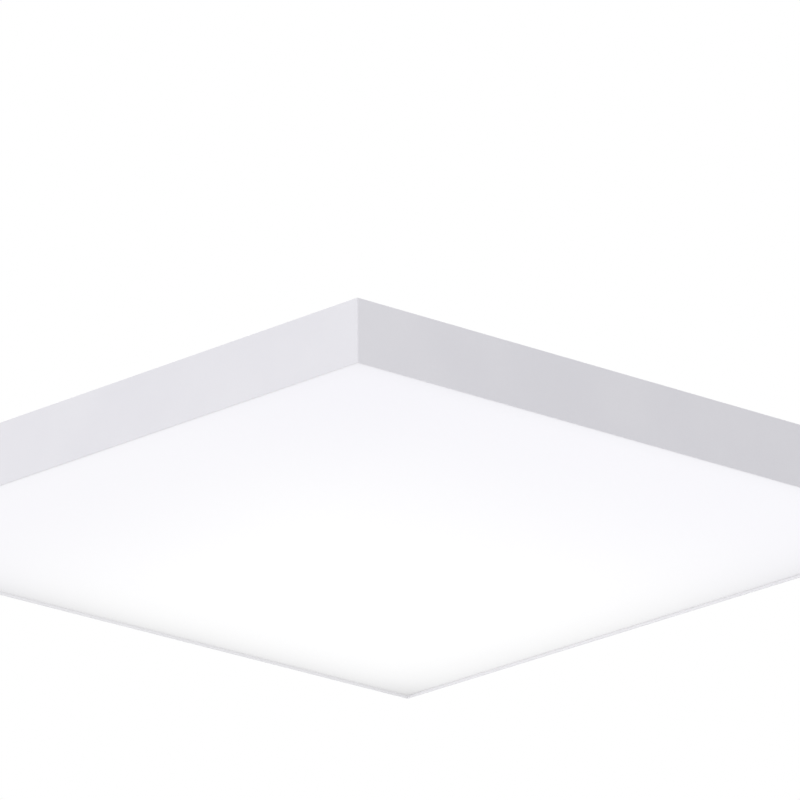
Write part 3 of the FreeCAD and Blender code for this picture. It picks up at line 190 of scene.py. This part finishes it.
class Finish(NodeTree):
    # one material: its Principled shader, and the patterns that feed it
    def __init__(self, name, **values):
        self.material = bpy.data.materials.new(name)
        self.material.use_nodes = True
        super().__init__(self.material.node_tree)
        self.shader = self.node("ShaderNodeBsdfPrincipled", {}, {})
        self.surface = self.node("ShaderNodeOutputMaterial", {}, {"Surface": self.shader})
        self.place = self.node("ShaderNodeTexCoord", {}, {}, "Object")
        self.x = self.node("ShaderNodeSeparateXYZ", {}, {"Vector": self.place}, "X")
        self.y = self.x.outlet("Y")
        self.z = self.x.outlet("Z")
        self.set(**values)

    def set(self, **values):
        for socket, value in values.items():
            self.put(self.shader.node.inputs[socket.replace("_", " ")], value)

    def noise(self, size, detail=2.0, roughness=0.5, stretch=None, place=None):
        # size is the width of one blotch in metres
        where = place or self.place
        if stretch:
            where = self.node("ShaderNodeVectorMath", {"operation": "MULTIPLY"}, {0: where, 1: stretch})
        sockets = {"Vector": where, "Scale": 1.0 / size, "Detail": detail, "Roughness": roughness}
        return self.node("ShaderNodeTexNoise", {}, sockets)

    def patches(self, size, cover, detail=2.0, roughness=0.5, stretch=None):
        # soft patches; cover is the level of noise where one starts and the level where it is full
        return self.noise(size, detail, roughness, stretch).rise(*cover)

    def cells(self, size):
        # each cell has a colour of its own
        sockets = {"Vector": self.place, "Scale": 1.0 / size}
        return self.node("ShaderNodeTexVoronoi", {"feature": "F1"}, sockets, "Color")

    def bump(self, height, depth):
        # depth is the height of the relief in metres
        return self.node("ShaderNodeBump", {}, {"Height": height, "Distance": depth})


def coat(finish, *names):
    # gives the named CAD pieces this finish all over
    for name in names:
        mesh = nodes[name].data
        mesh.materials.clear()
        mesh.materials.append(finish.material)


view = {
    "frameWidth": 800,             # the photograph's frame, in pixels
    "focalPixels": 10536.0,        # long lens, fitted to the edge lines
    "sensor": 36.0,                # in millimetres
    "distance": 7.875,             # from the middle of the walls' top, in metres
    "azimuth": 47.449,             # this and the next four in degrees
    "elevation": -17.531,
    "aimYaw": 0.09,                # the aim lies this far right of that middle
    "aimPitch": 0.42,              # and this far above it
    "roll": -0.18,
    "clipStart": 0.1,
    "clipEnd": 500.0,
}


def makeCamera():
    azimuth = math.radians(view["azimuth"])
    elevation = math.radians(view["elevation"])
    level = math.cos(elevation)
    back = Vector((math.sin(azimuth) * level, -math.cos(azimuth) * level, math.sin(elevation)))
    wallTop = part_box("frame_front")[1].z
    forward = -back
    right = forward.cross(Vector((0, 0, 1))).normalized()
    up = right.cross(forward)
    aim = forward + math.tan(math.radians(view["aimYaw"])) * right
    aim = (aim + math.tan(math.radians(view["aimPitch"])) * up).normalized()
    right = aim.cross(up).normalized()
    up = right.cross(aim)
    roll = math.radians(view["roll"])
    side = math.cos(roll) * right + math.sin(roll) * up
    top = side.cross(aim)
    data = bpy.data.cameras.new("camera")
    data.sensor_width = view["sensor"]
    data.lens = view["focalPixels"] / view["frameWidth"] * view["sensor"]
    data.clip_start = view["clipStart"]
    data.clip_end = view["clipEnd"]
    camera = bpy.data.objects.new("camera", data)
    scene.collection.objects.link(camera)
    turn = Matrix((side, top, -aim)).transposed().to_4x4()
    camera.matrix_world = Matrix.Translation(back * view["distance"] + Vector((0, 0, wallTop))) @ turn
    scene.camera = camera


makeCamera()
print("camera made")


studio = {
    "white": (1.0, 1.0, 1.0),      # the background, past the shadow on the floor
    "worldLevel": 0.675,
    "worldTint": (0.985, 0.98, 1.0),
    "floorDrop": 2.45,             # the light hangs at ceiling height above the floor
    "floorReach": 60.0,
    "floorColour": (0.86, 0.86, 0.865),
    "floorRoughness": 0.9,
    "speck": 20 * mm,
    "speckColour": (0.8, 0.8, 0.805),
    "speckShare": 0.1,
    "clearFrom": 1.8,              # the floor fades to plain white outside the shadow
    "clearTo": 4.0,
    "lamps": {
        # name: (place, size, watts), every lamp looks at the light
        "key": ((-2.2, -2.0, -0.6), 1.4, 18.5),
        "fill": ((1.6, -2.0, -0.5), 1.4, 12.5),
        "top": ((0.4, -0.6, 4.2), 3.0, 55.0),
        "low": ((-1.7, 2.1, -1.3), 1.6, 6.0),
    },
}


def makeWorld():
    scene.world = bpy.data.worlds.new("studio")
    scene.world.use_nodes = True
    sky = NodeTree(scene.world.node_tree)
    tint = {"Color": studio["worldTint"], "Strength": studio["worldLevel"]}
    soft = sky.node("ShaderNodeBackground", {}, tint)
    white = sky.node("ShaderNodeBackground", {}, {"Color": studio["white"], "Strength": 1.0})
    shown = sky.node("ShaderNodeMixShader", {}, {0: sky.seenDirectly(), 1: soft, 2: white})
    sky.node("ShaderNodeOutputWorld", {}, {"Surface": shown})


def floorPaint():
    # plain pale paint, white away from the shadow and clear from below
    paint = Finish("floorPaint", Roughness=studio["floorRoughness"])
    speck = paint.noise(studio["speck"], detail=3.0) * studio["speckShare"]
    paint.set(Base_Color=paint.mix(speck, studio["floorColour"], studio["speckColour"]))
    away = diagonal(paint.x, paint.y)
    faded = away.rise(studio["clearFrom"], studio["clearTo"]) * paint.seenDirectly()
    white = paint.node("ShaderNodeEmission", {}, {"Color": studio["white"], "Strength": 1.0})
    shown = paint.node("ShaderNodeMixShader", {}, {0: faded, 1: paint.shader, 2: white})
    clear = paint.node("ShaderNodeBsdfTransparent", {}, {})
    under = paint.node("ShaderNodeNewGeometry", {}, {}, "Backfacing")
    shown = paint.node("ShaderNodeMixShader", {}, {0: under, 1: shown, 2: clear})
    paint.put(paint.surface.node.inputs["Surface"], shown)
    return paint


def makeFloor():
    reach = studio["floorReach"]
    mesh = bpy.data.meshes.new("floor")
    outline = [(-reach, -reach, 0), (reach, -reach, 0), (reach, reach, 0), (-reach, reach, 0)]
    mesh.from_pydata(outline, [], [(0, 1, 2, 3)])
    mesh.materials.append(floorPaint().material)
    floor = bpy.data.objects.new("floor", mesh)
    floor.location.z = -studio["floorDrop"]
    scene.collection.objects.link(floor)


def makeLamps():
    for name, (place, size, power) in studio["lamps"].items():
        data = bpy.data.lights.new(name, "AREA")
        data.shape = "DISK"
        data.size = size
        data.energy = power
        lamp = bpy.data.objects.new(name, data)
        lamp.location = place
        lamp.rotation_euler = (-Vector(place)).to_track_quat("-Z", "Y").to_euler()
        lamp.visible_camera = False
        scene.collection.objects.link(lamp)


makeWorld()
makeFloor()
makeLamps()
scene.view_settings.view_transform = "Standard"
print("studio lit")


walls = {
    "colour": (0.79, 0.785, 0.82),
    "thinColour": (0.82, 0.815, 0.845),
    "thin": 90 * mm,                     # width of the patches where the coat is thinner
    "thinCover": (0.3, 0.75),
    "lipPaintedLight": (0.855, 0.85, 0.87),    # the rim and the lip inside it, painted paler: painted light from the lit diffuser beside them
    "lipInset": 0.3 * mm,                # where that starts, from the outside
    "lipHeight": 6 * mm,                 # and where it ends, from the rim up
    "softEdge": 0.05 * mm,
    "lipGlow": (0.083, 0.083, 0.081),    # the diffuser's light on the inside of the left wall's lip
    "lipGlowInset": 1.5 * mm,            # a little less than the wall's thickness
    "lipGlowReach": 3 * mm,              # from the outside of the left wall
    "gloss": 0.4,
    "roughness": 0.44,
    "roughnessSpread": 0.12,
    "peel": 1.6 * mm,                    # width of one blotch of the orange peel
    "peelDepth": 0.03 * mm,
    "grit": 0.35 * mm,
    "gritShare": 0.25,
}


def powderCoat():
    coated = Finish("powderCoat", Specular_IOR_Level=walls["gloss"], Emission_Strength=1.0)
    peel = coated.noise(walls["peel"], roughness=0.4)
    grit = coated.noise(walls["grit"], roughness=0.6)
    thin = coated.patches(walls["thin"], walls["thinCover"], detail=3.0)
    inset = halfSide - abs(coated.x).most(abs(coated.y))
    atRim = coated.z < rimLevel + walls["lipHeight"]
    lip = inset.above(walls["lipInset"], walls["softEdge"]) * atRim
    insideLip = lip * (inset > walls["lipGlowInset"])
    glowing = insideLip * (coated.x + halfSide < walls["lipGlowReach"])
    paint = coated.mix(thin, walls["colour"], walls["thinColour"])
    coated.set(
        # the rim and the lip get a paler colour here: painted light from the diffuser
        Base_Color=coated.mix(lip, paint, walls["lipPaintedLight"]),
        Emission_Color=coated.mix(glowing, (0.0, 0.0, 0.0), walls["lipGlow"]),
        Roughness=scattered(walls["roughness"], peel, walls["roughnessSpread"]),
        Normal=coated.bump(peel + grit * walls["gritShare"], walls["peelDepth"]),
    )
    return coated


wallFinish = powderCoat()
coat(wallFinish, "frame_front", "frame_right", "frame_rear", "frame_left")


seam = {
    "bevel": 0.9 * mm,             # bevel of the sawn corner that the filled seam rounds off
    "edgeBreak": 0.3 * mm,         # of the rim and the top edge
    "arcSteps": 10,
    "root": 0.75 * mm,             # how far in the filler narrows into the mitre's gap
    "halfHairline": 0.036 * mm,    # half that gap, along each wall
    "tail": 1.56 * mm,             # how far in the gap is filled
    "sink": 0.02 * mm,             # its ends stay this far inside the rim and the top edge
    "smoothBelow": 40.0,           # degrees
}

corners = {
    # corner: its side of the middle along x and along y
    "front_left": (-1, -1),
    "front_right": (1, -1),
    "rear_left": (-1, 1),
    "rear_right": (1, 1),
}


def seamSection(cut):
    # outline in a corner's own axes, both pointing inwards; cut is what the broken edge takes off
    bevel = seam["bevel"]
    gap = seam["halfHairline"]
    radius = bevel - cut
    outline = []
    for step in range(seam["arcSteps"] + 1):
        angle = math.radians(180 + 90 * step / seam["arcSteps"])
        outline.append((bevel + radius * math.cos(angle), bevel + radius * math.sin(angle)))
    for depth in (seam["root"], seam["tail"]):
        outline.append((depth + gap, depth - gap))
    for depth in (seam["tail"], seam["root"]):
        outline.append((depth - gap, depth + gap))
    return outline


def cornerSeam(name, sideX, sideY):
    # the painted filler of one mitred corner: it closes the hairline and rounds the bevel
    low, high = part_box("frame_front")
    broken = seam["edgeBreak"]
    levels = [
        (high.z - seam["sink"], broken),
        (high.z - broken, 0.0),
        (low.z + broken, 0.0),
        (low.z + seam["sink"], broken),
    ]
    work = bmesh.new()
    rings = []
    for level, cut in levels:
        ring = []
        for inX, inY in seamSection(cut):
            ring.append(work.verts.new((sideX * (halfSide - inX), sideY * (halfSide - inY), level)))
        rings.append(ring)
    for upper, lower in zip(rings, rings[1:]):
        for here in range(len(upper)):
            there = (here + 1) % len(upper)
            work.faces.new((upper[here], upper[there], lower[there], lower[here]))
    work.faces.new(rings[0])
    work.faces.new(rings[-1])
    for face in work.faces:
        face.smooth = True
    bmesh.ops.recalc_face_normals(work, faces=work.faces)
    mesh = bpy.data.meshes.new(name)
    work.to_mesh(mesh)
    work.free()
    mesh.set_sharp_from_angle(angle=math.radians(seam["smoothBelow"]))
    mesh.materials.append(wallFinish.material)
    piece = bpy.data.objects.new(name, mesh)
    scene.collection.objects.link(piece)
    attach(piece, "shade")


for corner, (sideX, sideY) in corners.items():
    cornerSeam(f"corner_seam_{corner}", sideX, sideY)

print("walls finished")


glow = {
    "full": (0.812, 0.812, 0.812),       # the light that comes through
    "dim": (0.722, 0.715, 0.755),        # the cooler and dimmer light towards the front and right walls
    "dimming": {
        # wall: (greatest share of that colour, where it starts to fall, where it ends)
        "front": (0.67, 40 * mm, 320 * mm),
        "right": (0.8, 30 * mm, 400 * mm),
    },
    "dimmingBlend": 3,                   # power that rounds off where the two shares meet
    "rim": {
        # wall: (light lost at it, how far that reaches)
        "front": (0.06, 8 * mm),
        "right": (0.13, 8 * mm),
        "rear": (0.18, 30 * mm),
        "left": (0.24, 24 * mm),
    },
    "plastic": (0.13, 0.13, 0.133),      # lit from inside, its face reflects little
    "cloudy": (0.17, 0.17, 0.172),
    "inside": (0.62, 0.62, 0.62),        # the side that looks up at the sources, and the upstands
    "insideGlow": (0.22, 0.22, 0.215),
    "faceSkin": 0.3 * mm,                # thickness of the lowest layer, the face that the room sees
    "softEdge": 0.1 * mm,
    "gloss": 0.35,
    "roughness": 0.5,
    "roughnessSpread": 0.1,
    "satin": 0.5 * mm,
    "satinDepth": 0.004 * mm,
}


def opalSheet():
    opal = Finish("opalSheet", Specular_IOR_Level=glow["gloss"], Emission_Strength=1.0)
    fromWall = {
        "front": opal.y + halfSide,
        "right": halfSide - opal.x,
        "rear": halfSide - opal.y,
        "left": opal.x + halfSide,
    }
    dimmed = 0.0
    for wall, (share, near, far) in glow["dimming"].items():
        dimmed = dimmed + (share * fromWall[wall].fall(near, far)) ** glow["dimmingBlend"]
    dimmed = dimmed ** (1 / glow["dimmingBlend"])
    kept = 1.0
    for wall, (loss, reach) in glow["rim"].items():
        kept = kept - fromWall[wall].fade(reach) * loss
    lit = opal.mix(dimmed, glow["full"], glow["dim"])
    lit = opal.node("ShaderNodeVectorMath", {"operation": "SCALE"}, {0: lit, "Scale": kept})
    inside = opal.z.above(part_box("diffuser")[0].z + glow["faceSkin"], glow["softEdge"])
    satin = opal.noise(glow["satin"], roughness=0.6)
    face = opal.mix(satin, glow["plastic"], glow["cloudy"])
    opal.set(
        Base_Color=opal.mix(inside, face, glow["inside"]),
        Emission_Color=opal.mix(inside, lit, glow["insideGlow"]),
        Roughness=glow["roughness"] + satin * glow["roughnessSpread"],
        Normal=opal.bump(satin, glow["satinDepth"]),
    )
    return opal


coat(opalSheet(), "diffuser")
print("diffuser finished")


zinc = {
    "bright": (0.63, 0.64, 0.66),
    "dull": (0.50, 0.515, 0.54),
    "metallic": 0.9,
    "roughness": 0.29,                   # to which the patterns below add
    "relief": 0.006 * mm,
    "spangle": 5 * mm,                   # width of a crystal, whose grain is one tone
    "feather": 1.6 * mm,                 # streaks inside each crystal, turned with it
    "featherStretch": (0.12, 1.0, 1.0),
    "rolled": 2 * mm,                    # marks of the rolls, drawn out along x
    "rolledStretch": (0.02, 1.0, 1.0),
    "stain": 110 * mm,
    "stainCover": (0.35, 0.7),
    "rub": 1.2 * mm,                     # fine scratches along y
    "rubStretch": (1.0, 0.015, 1.0),
    "rubCover": (0.66, 0.74),
    "rubbed": 60 * mm,                   # the places that have them
    "rubbedCover": (0.5, 0.65),
    # how much each pattern dulls the colour, adds to the roughness and raises the relief
    "inColour": {"grain": 0.34, "feather": 0.26, "rolled": 0.12, "stain": 0.28},
    "inRoughness": {"feather": 0.1, "grain": 0.08, "stain": 0.06, "rub": -0.1},
    "inRelief": {"rolled": 0.6, "feather": 0.4, "rub": -0.5},
    "straw": (0.56, 0.50, 0.40),         # heat tint round the spot welds of the rails
    "strawShare": 0.8,
    "strawReach": 4 * mm,
    "weldPitch": 70 * mm,
    "weldCount": 7,                      # along a foot of a rail
    "weldFoot": 20 * mm,                 # middle of a rail to the welds of its feet
}


def zincSheet():
    sheet = Finish("zincSheet", Metallic=zinc["metallic"])
    grain = sheet.node("ShaderNodeSeparateColor", {}, {"Color": sheet.cells(zinc["spangle"])}, "Red")
    turn = {"Vector": sheet.place, "Angle": grain * math.tau}
    turned = sheet.node("ShaderNodeVectorRotate", {"rotation_type": "Z_AXIS"}, turn)
    rubbed = sheet.patches(zinc["rubbed"], zinc["rubbedCover"])
    patterns = {
        "grain": grain,
        "feather": sheet.noise(zinc["feather"], roughness=0.6, stretch=zinc["featherStretch"], place=turned),
        "rolled": sheet.noise(zinc["rolled"], detail=3.0, roughness=0.6, stretch=zinc["rolledStretch"]),
        "stain": sheet.patches(zinc["stain"], zinc["stainCover"], detail=4.0, roughness=0.6),
        "rub": sheet.patches(zinc["rub"], zinc["rubCover"], stretch=zinc["rubStretch"]) * rubbed,
    }
    alongWelds = folded(sheet.x, zinc["weldPitch"])
    acrossWelds = abs(abs(abs(sheet.y) - middle("tray_rail_rear").y) - zinc["weldFoot"])
    withinRow = abs(sheet.x) < zinc["weldCount"] / 2 * zinc["weldPitch"]
    heat = diagonal(alongWelds, acrossWelds).fade(zinc["strawReach"]) * withinRow
    metal = sheet.mix(weighted(patterns, zinc["inColour"]), zinc["bright"], zinc["dull"])
    sheet.set(
        Base_Color=sheet.mix(heat * zinc["strawShare"], metal, zinc["straw"]),
        Roughness=zinc["roughness"] + weighted(patterns, zinc["inRoughness"]),
        Normal=sheet.bump(weighted(patterns, zinc["inRelief"]), zinc["relief"]),
    )
    return sheet


coat(zincSheet(), "ceiling_pan", "tray_rail_front", "tray_rail_rear")
print("sheet metal finished")


metals = {
    "metallic": 0.95,
    "roughnessSpread": 0.2,
    "bloomWidth": 18,              # in widths of the grain
    "bloomCover": (0.35, 0.7),
    "finishes": {
        # name: (colour, colour of the bloom, roughness, width of the grain, its relief)
        "springStrip": ((0.36, 0.37, 0.40), (0.27, 0.28, 0.33), 0.34, 0.6 * mm, 0.003 * mm),
        "platedSteel": ((0.70, 0.70, 0.67), (0.60, 0.61, 0.64), 0.28, 0.5 * mm, 0.003 * mm),
        "castAlloy": ((0.52, 0.52, 0.53), (0.42, 0.42, 0.44), 0.55, 0.35 * mm, 0.02 * mm),
        "rivetAlloy": ((0.66, 0.66, 0.67), (0.56, 0.56, 0.58), 0.36, 0.4 * mm, 0.004 * mm),
        "tinnedCopper": ((0.66, 0.64, 0.60), (0.55, 0.53, 0.50), 0.34, 0.4 * mm, 0.004 * mm),
    },
    "pieces": {
        "springStrip": ["catch_springs"],
        "platedSteel": ["corner_key_screws", "driver_screws", "terminal_screws", "earth_stud", "earth_nut"],
        "castAlloy": [f"corner_key_{corner}" for corner in corners],
        "rivetAlloy": ["catch_rivets"],
        "tinnedCopper": ["earth_ring"],
    },
}


def plainMetal(name, colour, bloomed, roughness, width, relief):
    # bright metal with a fine directionless grain and a slightly darker bloom
    metal = Finish(name, Metallic=metals["metallic"])
    grain = metal.noise(width, detail=3.0, roughness=0.6)
    bloom = metal.patches(width * metals["bloomWidth"], metals["bloomCover"], detail=3.0)
    metal.set(
        Base_Color=metal.mix(bloom, colour, bloomed),
        Roughness=scattered(roughness, grain, metals["roughnessSpread"]),
        Normal=metal.bump(grain, relief),
    )
    return metal


for name, values in metals["finishes"].items():
    coat(plainMetal(name, *values), *metals["pieces"][name])


plastics = {
    "roughnessSpread": 0.16,
    "tone": 25 * mm,               # width of the patches of a slightly different tone
    "toneCover": (0.3, 0.75),
    "finishes": {
        # name: (colour, second tone, roughness, width of the spark grain, its relief, gloss)
        "blackRubber": ((0.045, 0.045, 0.05), (0.07, 0.07, 0.072), 0.72, 0.5 * mm, 0.03 * mm, 0.3),
        "greyRubber": ((0.27, 0.27, 0.28), (0.32, 0.32, 0.325), 0.7, 0.5 * mm, 0.03 * mm, 0.3),
        "whiteNylon": ((0.82, 0.82, 0.79), (0.78, 0.775, 0.74), 0.45, 0.4 * mm, 0.01 * mm, 0.5),
        "ivoryPlastic": ((0.83, 0.80, 0.72), (0.80, 0.77, 0.70), 0.42, 0.4 * mm, 0.006 * mm, 0.5),
        "driverPlastic": ((0.76, 0.76, 0.755), (0.74, 0.74, 0.735), 0.55, 0.7 * mm, 0.03 * mm, 0.45),
        "boardGreen": ((0.03, 0.20, 0.07), (0.025, 0.16, 0.06), 0.35, 0.8 * mm, 0.006 * mm, 0.5),
        "terminalGrey": ((0.62, 0.63, 0.64), (0.60, 0.61, 0.62), 0.5, 0.6 * mm, 0.02 * mm, 0.45),
        "buttonOrange": ((0.80, 0.20, 0.02), (0.74, 0.18, 0.02), 0.38, 0.5 * mm, 0.006 * mm, 0.5),
        "wireRed": ((0.52, 0.025, 0.02), (0.46, 0.02, 0.02), 0.4, 0.4 * mm, 0.004 * mm, 0.5),
        "wireBlack": ((0.03, 0.03, 0.032), (0.04, 0.04, 0.042), 0.4, 0.4 * mm, 0.004 * mm, 0.5),
        "wireBlue": ((0.02, 0.10, 0.44), (0.02, 0.08, 0.38), 0.4, 0.4 * mm, 0.004 * mm, 0.5),
        "wireBrown": ((0.17, 0.065, 0.03), (0.14, 0.05, 0.025), 0.4, 0.4 * mm, 0.004 * mm, 0.5),
    },
    "pieces": {
        "blackRubber": ["cable_grommet"],
        "greyRubber": ["lead_grommet"],
        "whiteNylon": ["bar_rivets"] + [f"tray_knob_{n}" for n in range(1, 5)],
        "ivoryPlastic": ["bar_connectors", "feed_connector"],
        "driverPlastic": ["driver_case", "driver_lid"],
        "boardGreen": ["driver_board"],
        "terminalGrey": ["terminal_block"],
        "buttonOrange": [f"release_button_{n}" for n in range(1, 4)],
        "wireRed": ["jumper_wires_plus", "output_lead_plus"],
        "wireBlack": ["jumper_wires_minus", "output_lead_minus"],
        "wireBlue": ["neutral_lead"],
        "wireBrown": ["live_lead"],
    },
}


def plainPlastic(name, colour, secondTone, roughness, width, relief, gloss):
    # rubber, moulded plastic or a wire's sleeve
    plastic = Finish(name, Specular_IOR_Level=gloss)
    spark = plastic.noise(width, roughness=0.6)
    tone = plastic.patches(plastics["tone"], plastics["toneCover"])
    plastic.set(
        Base_Color=plastic.mix(tone, colour, secondTone),
        Roughness=scattered(roughness, spark, plastics["roughnessSpread"]),
        Normal=plastic.bump(spark, relief),
    )
    return plastic


for name, values in plastics["finishes"].items():
    coat(plainPlastic(name, *values), *plastics["pieces"][name])

print("fittings and wires finished")


driver = {
    "body": (0.035, 0.035, 0.04),        # the bridge, and anything not named below
    "parts": {
        # part: (x from, x to, y from, y to, lower than z, all in millimetres, colour, metallic)
        "canSleeves": (-68, -31, -76, -44, 0, (0.02, 0.035, 0.10), 0.0),
        "canEnds": (-68, -31, -76, -44, -12.7, (0.66, 0.67, 0.69), 0.9),
        "choke": (-37.5, -22, -76.5, -61.5, 0, (0.50, 0.19, 0.08), 0.9),
        "tape": (2, 23, -70, -50, 0, (0.78, 0.58, 0.07), 0.0),
        "filmCapacitor": (49, 64.8, -56, -46, 0, (0.50, 0.07, 0.04), 0.0),
        "varistor": (64.8, 73, -74, -65, 0, (0.03, 0.16, 0.42), 0.0),
        "heatSink": (-15, 18, -80, -75, 0, (0.55, 0.56, 0.58), 0.9),
    },
    "winding": 0.9 * mm,                 # from turn to turn of the choke
    "windingDepth": 0.3 * mm,
    "skin": 0.5 * mm,                    # width of one speck on every part
    "skinColour": (0.08, 0.08, 0.08),
    "skinShare": 0.25,
    "skinRelief": 0.05,                  # share of the winding's depth
    "roughness": 0.38,
    "roughnessSpread": 0.2,
}


def driverParts():
    parts = Finish("driverParts")
    skin = parts.noise(driver["skin"], roughness=0.6)
    colour = driver["body"]
    metallic = 0.0
    spots = {}
    for name, (xFrom, xTo, yFrom, yTo, zBelow, paint, metal) in driver["parts"].items():
        wide = (parts.x > xFrom * mm) * (parts.x < xTo * mm)
        deep = (parts.y > yFrom * mm) * (parts.y < yTo * mm)
        spots[name] = wide * deep * (parts.z < zBelow * mm)
        colour = parts.mix(spots[name], colour, paint)
        metallic = metallic + (metal - metallic) * spots[name]
    turns = folded(parts.x, driver["winding"]) / driver["winding"] * spots["choke"]
    parts.set(
        Base_Color=parts.mix(skin * driver["skinShare"], colour, driver["skinColour"]),
        Metallic=metallic,
        Roughness=driver["roughness"] + skin * driver["roughnessSpread"],
        Normal=parts.bump(turns + skin * driver["skinRelief"], driver["windingDepth"]),
    )
    return parts


coat(driverParts(), "driver_components")


earth = {
    "green": (0.05, 0.26, 0.03),
    "yellow": (0.72, 0.60, 0.03),
    "stripeFrom": -0.45,           # the stripe faces sideways and a little down, along the whole lead
    "stripeTo": 0.35,
    "gloss": 0.5,
    "roughness": 0.4,
    "roughnessSpread": 0.16,
    "grain": 0.4 * mm,
    "relief": 0.004 * mm,
}


def earthSleeve():
    sleeve = Finish("earthSleeve", Specular_IOR_Level=earth["gloss"])
    normal = sleeve.node("ShaderNodeNewGeometry", {}, {}, "Normal")
    upward = sleeve.node("ShaderNodeSeparateXYZ", {}, {"Vector": normal}, "Z")
    stripe = (upward > earth["stripeFrom"]) * (upward < earth["stripeTo"])
    grain = sleeve.noise(earth["grain"], roughness=0.6)
    sleeve.set(
        Base_Color=sleeve.mix(stripe, earth["green"], earth["yellow"]),
        Roughness=scattered(earth["roughness"], grain, earth["roughnessSpread"]),
        Normal=sleeve.bump(grain, earth["relief"]),
    )
    return sleeve


coat(earthSleeve(), "earth_lead")
print("driver and earth lead finished")


barPitch = middle("light_bar_2").y - middle("light_bar_1").y    # also from source to source along a bar
lastSource = middle("light_bar_9").y                            # middle of the light to the outermost ones

pool = {
    "reach": 16 * mm,              # of a source's light on the sheet that it stands on
    "colour": (0.28, 0.277, 0.268),
    "outside": (0.05, 0.05, 0.049),
}


def fromSource(finish):
    # distance from the axis of the nearest light source
    across = folded(finish.x, barPitch).most(abs(finish.x) - lastSource)
    along = folded(finish.y, barPitch).most(abs(finish.y) - lastSource)
    return diagonal(across, along)


def sourceLight(finish):
    # the pools of light round the sources
    return finish.mix(fromSource(finish).fade(pool["reach"]), pool["outside"], pool["colour"])


tray = {
    "colour": (0.88, 0.88, 0.875),
    "secondTone": (0.86, 0.86, 0.86),
    "tone": 40 * mm,
    "toneCover": (0.3, 0.75),
    "gloss": 0.5,
    "roughness": 0.4,
    "roughnessSpread": 0.16,
    "peel": 1.4 * mm,
    "peelDepth": 0.02 * mm,
}


def reflectorCoat():
    coated = Finish("reflectorCoat", Specular_IOR_Level=tray["gloss"], Emission_Strength=1.0)
    peel = coated.noise(tray["peel"])
    tone = coated.patches(tray["tone"], tray["toneCover"])
    coated.set(
        Base_Color=coated.mix(tone, tray["colour"], tray["secondTone"]),
        Emission_Color=sourceLight(coated),
        Roughness=scattered(tray["roughness"], peel, tray["roughnessSpread"]),
        Normal=coated.bump(peel, tray["peelDepth"]),
    )
    return coated


source = {
    "case": (0.80, 0.80, 0.78),
    "caseGlow": (0.25, 0.25, 0.24),
    "phosphor": (0.86, 0.66, 0.18),      # the yellow window in the middle
    "phosphorGlow": (1.0, 0.93, 0.74),
    "phosphorRadius": 1.15 * mm,
    "softEdge": 0.1 * mm,
    "roughness": 0.35,
}


def sourcePack():
    pack = Finish("sourcePack", Roughness=source["roughness"], Emission_Strength=1.0)
    window = fromSource(pack).below(source["phosphorRadius"], source["softEdge"])
    pack.set(
        Base_Color=pack.mix(window, source["case"], source["phosphor"]),
        Emission_Color=pack.mix(window, source["caseGlow"], source["phosphorGlow"]),
    )
    return pack


lens = {
    "colour": (0.97, 0.975, 0.98),
    "rippleColour": (0.93, 0.94, 0.95),
    "clear": 0.45,                       # share of the light that goes through
    "refraction": 1.49,
    "glow": (0.46, 0.452, 0.43),         # the moulding is lit by its source, most of all round its axis
    "edgeGlow": (0.08, 0.08, 0.08),
    "glowReach": 4.5 * mm,
    "ripple": 2.5 * mm,
    "rippleDepth": 0.006 * mm,
    "roughness": 0.06,
    "roughnessSpread": 0.06,
}


def clearLens():
    clear = Finish(
        "clearLens", Transmission_Weight=lens["clear"], IOR=lens["refraction"], Emission_Strength=1.0
    )
    ripple = clear.noise(lens["ripple"], roughness=0.4)
    nearAxis = fromSource(clear).fade(lens["glowReach"])
    clear.set(
        Base_Color=clear.mix(ripple, lens["colour"], lens["rippleColour"]),
        Emission_Color=clear.mix(nearAxis, lens["edgeGlow"], lens["glow"]),
        Roughness=lens["roughness"] + ripple * lens["roughnessSpread"],
        Normal=clear.bump(ripple, lens["rippleDepth"]),
    )
    return clear


board = {
    "mask": (0.84, 0.84, 0.82),          # white solder mask
    "overCopper": (0.80, 0.79, 0.76),    # the same over the two copper rails and the pads of the sources
    "railFrom": 2.4 * mm,                # from the middle of the bar
    "railTo": 5.3 * mm,
    "padReach": 4.5 * mm,                # from the middle of a source
    "softEdge": 0.1 * mm,
    "copperDepth": 0.035 * mm,
    "gloss": 0.5,
    "roughness": 0.36,
    "roughnessSpread": 0.08,
    "weave": 0.7 * mm,
    "weaveRelief": 0.1,                  # share of the copper's depth
}


def whiteBoard():
    white = Finish("whiteBoard", Specular_IOR_Level=board["gloss"], Emission_Strength=1.0)
    across = folded(white.y, barPitch)
    along = folded(white.x, barPitch)
    soft = board["softEdge"]
    rail = across.above(board["railFrom"], soft) * across.below(board["railTo"], soft)
    pad = along.most(across).below(board["padReach"], soft)
    copper = rail.most(pad)
    weave = white.noise(board["weave"], roughness=0.6)
    white.set(
        Base_Color=white.mix(copper, board["mask"], board["overCopper"]),
        Emission_Color=sourceLight(white),
        Roughness=board["roughness"] + weave * board["roughnessSpread"],
        Normal=white.bump(copper + weave * board["weaveRelief"], board["copperDepth"]),
    )
    return white


coat(reflectorCoat(), "reflector_tray")
coat(sourcePack(), "light_sources")
coat(clearLens(), "lenses")
coat(whiteBoard(), *[f"light_bar_{n}" for n in range(1, 10)])
print("tray and light bars finished")
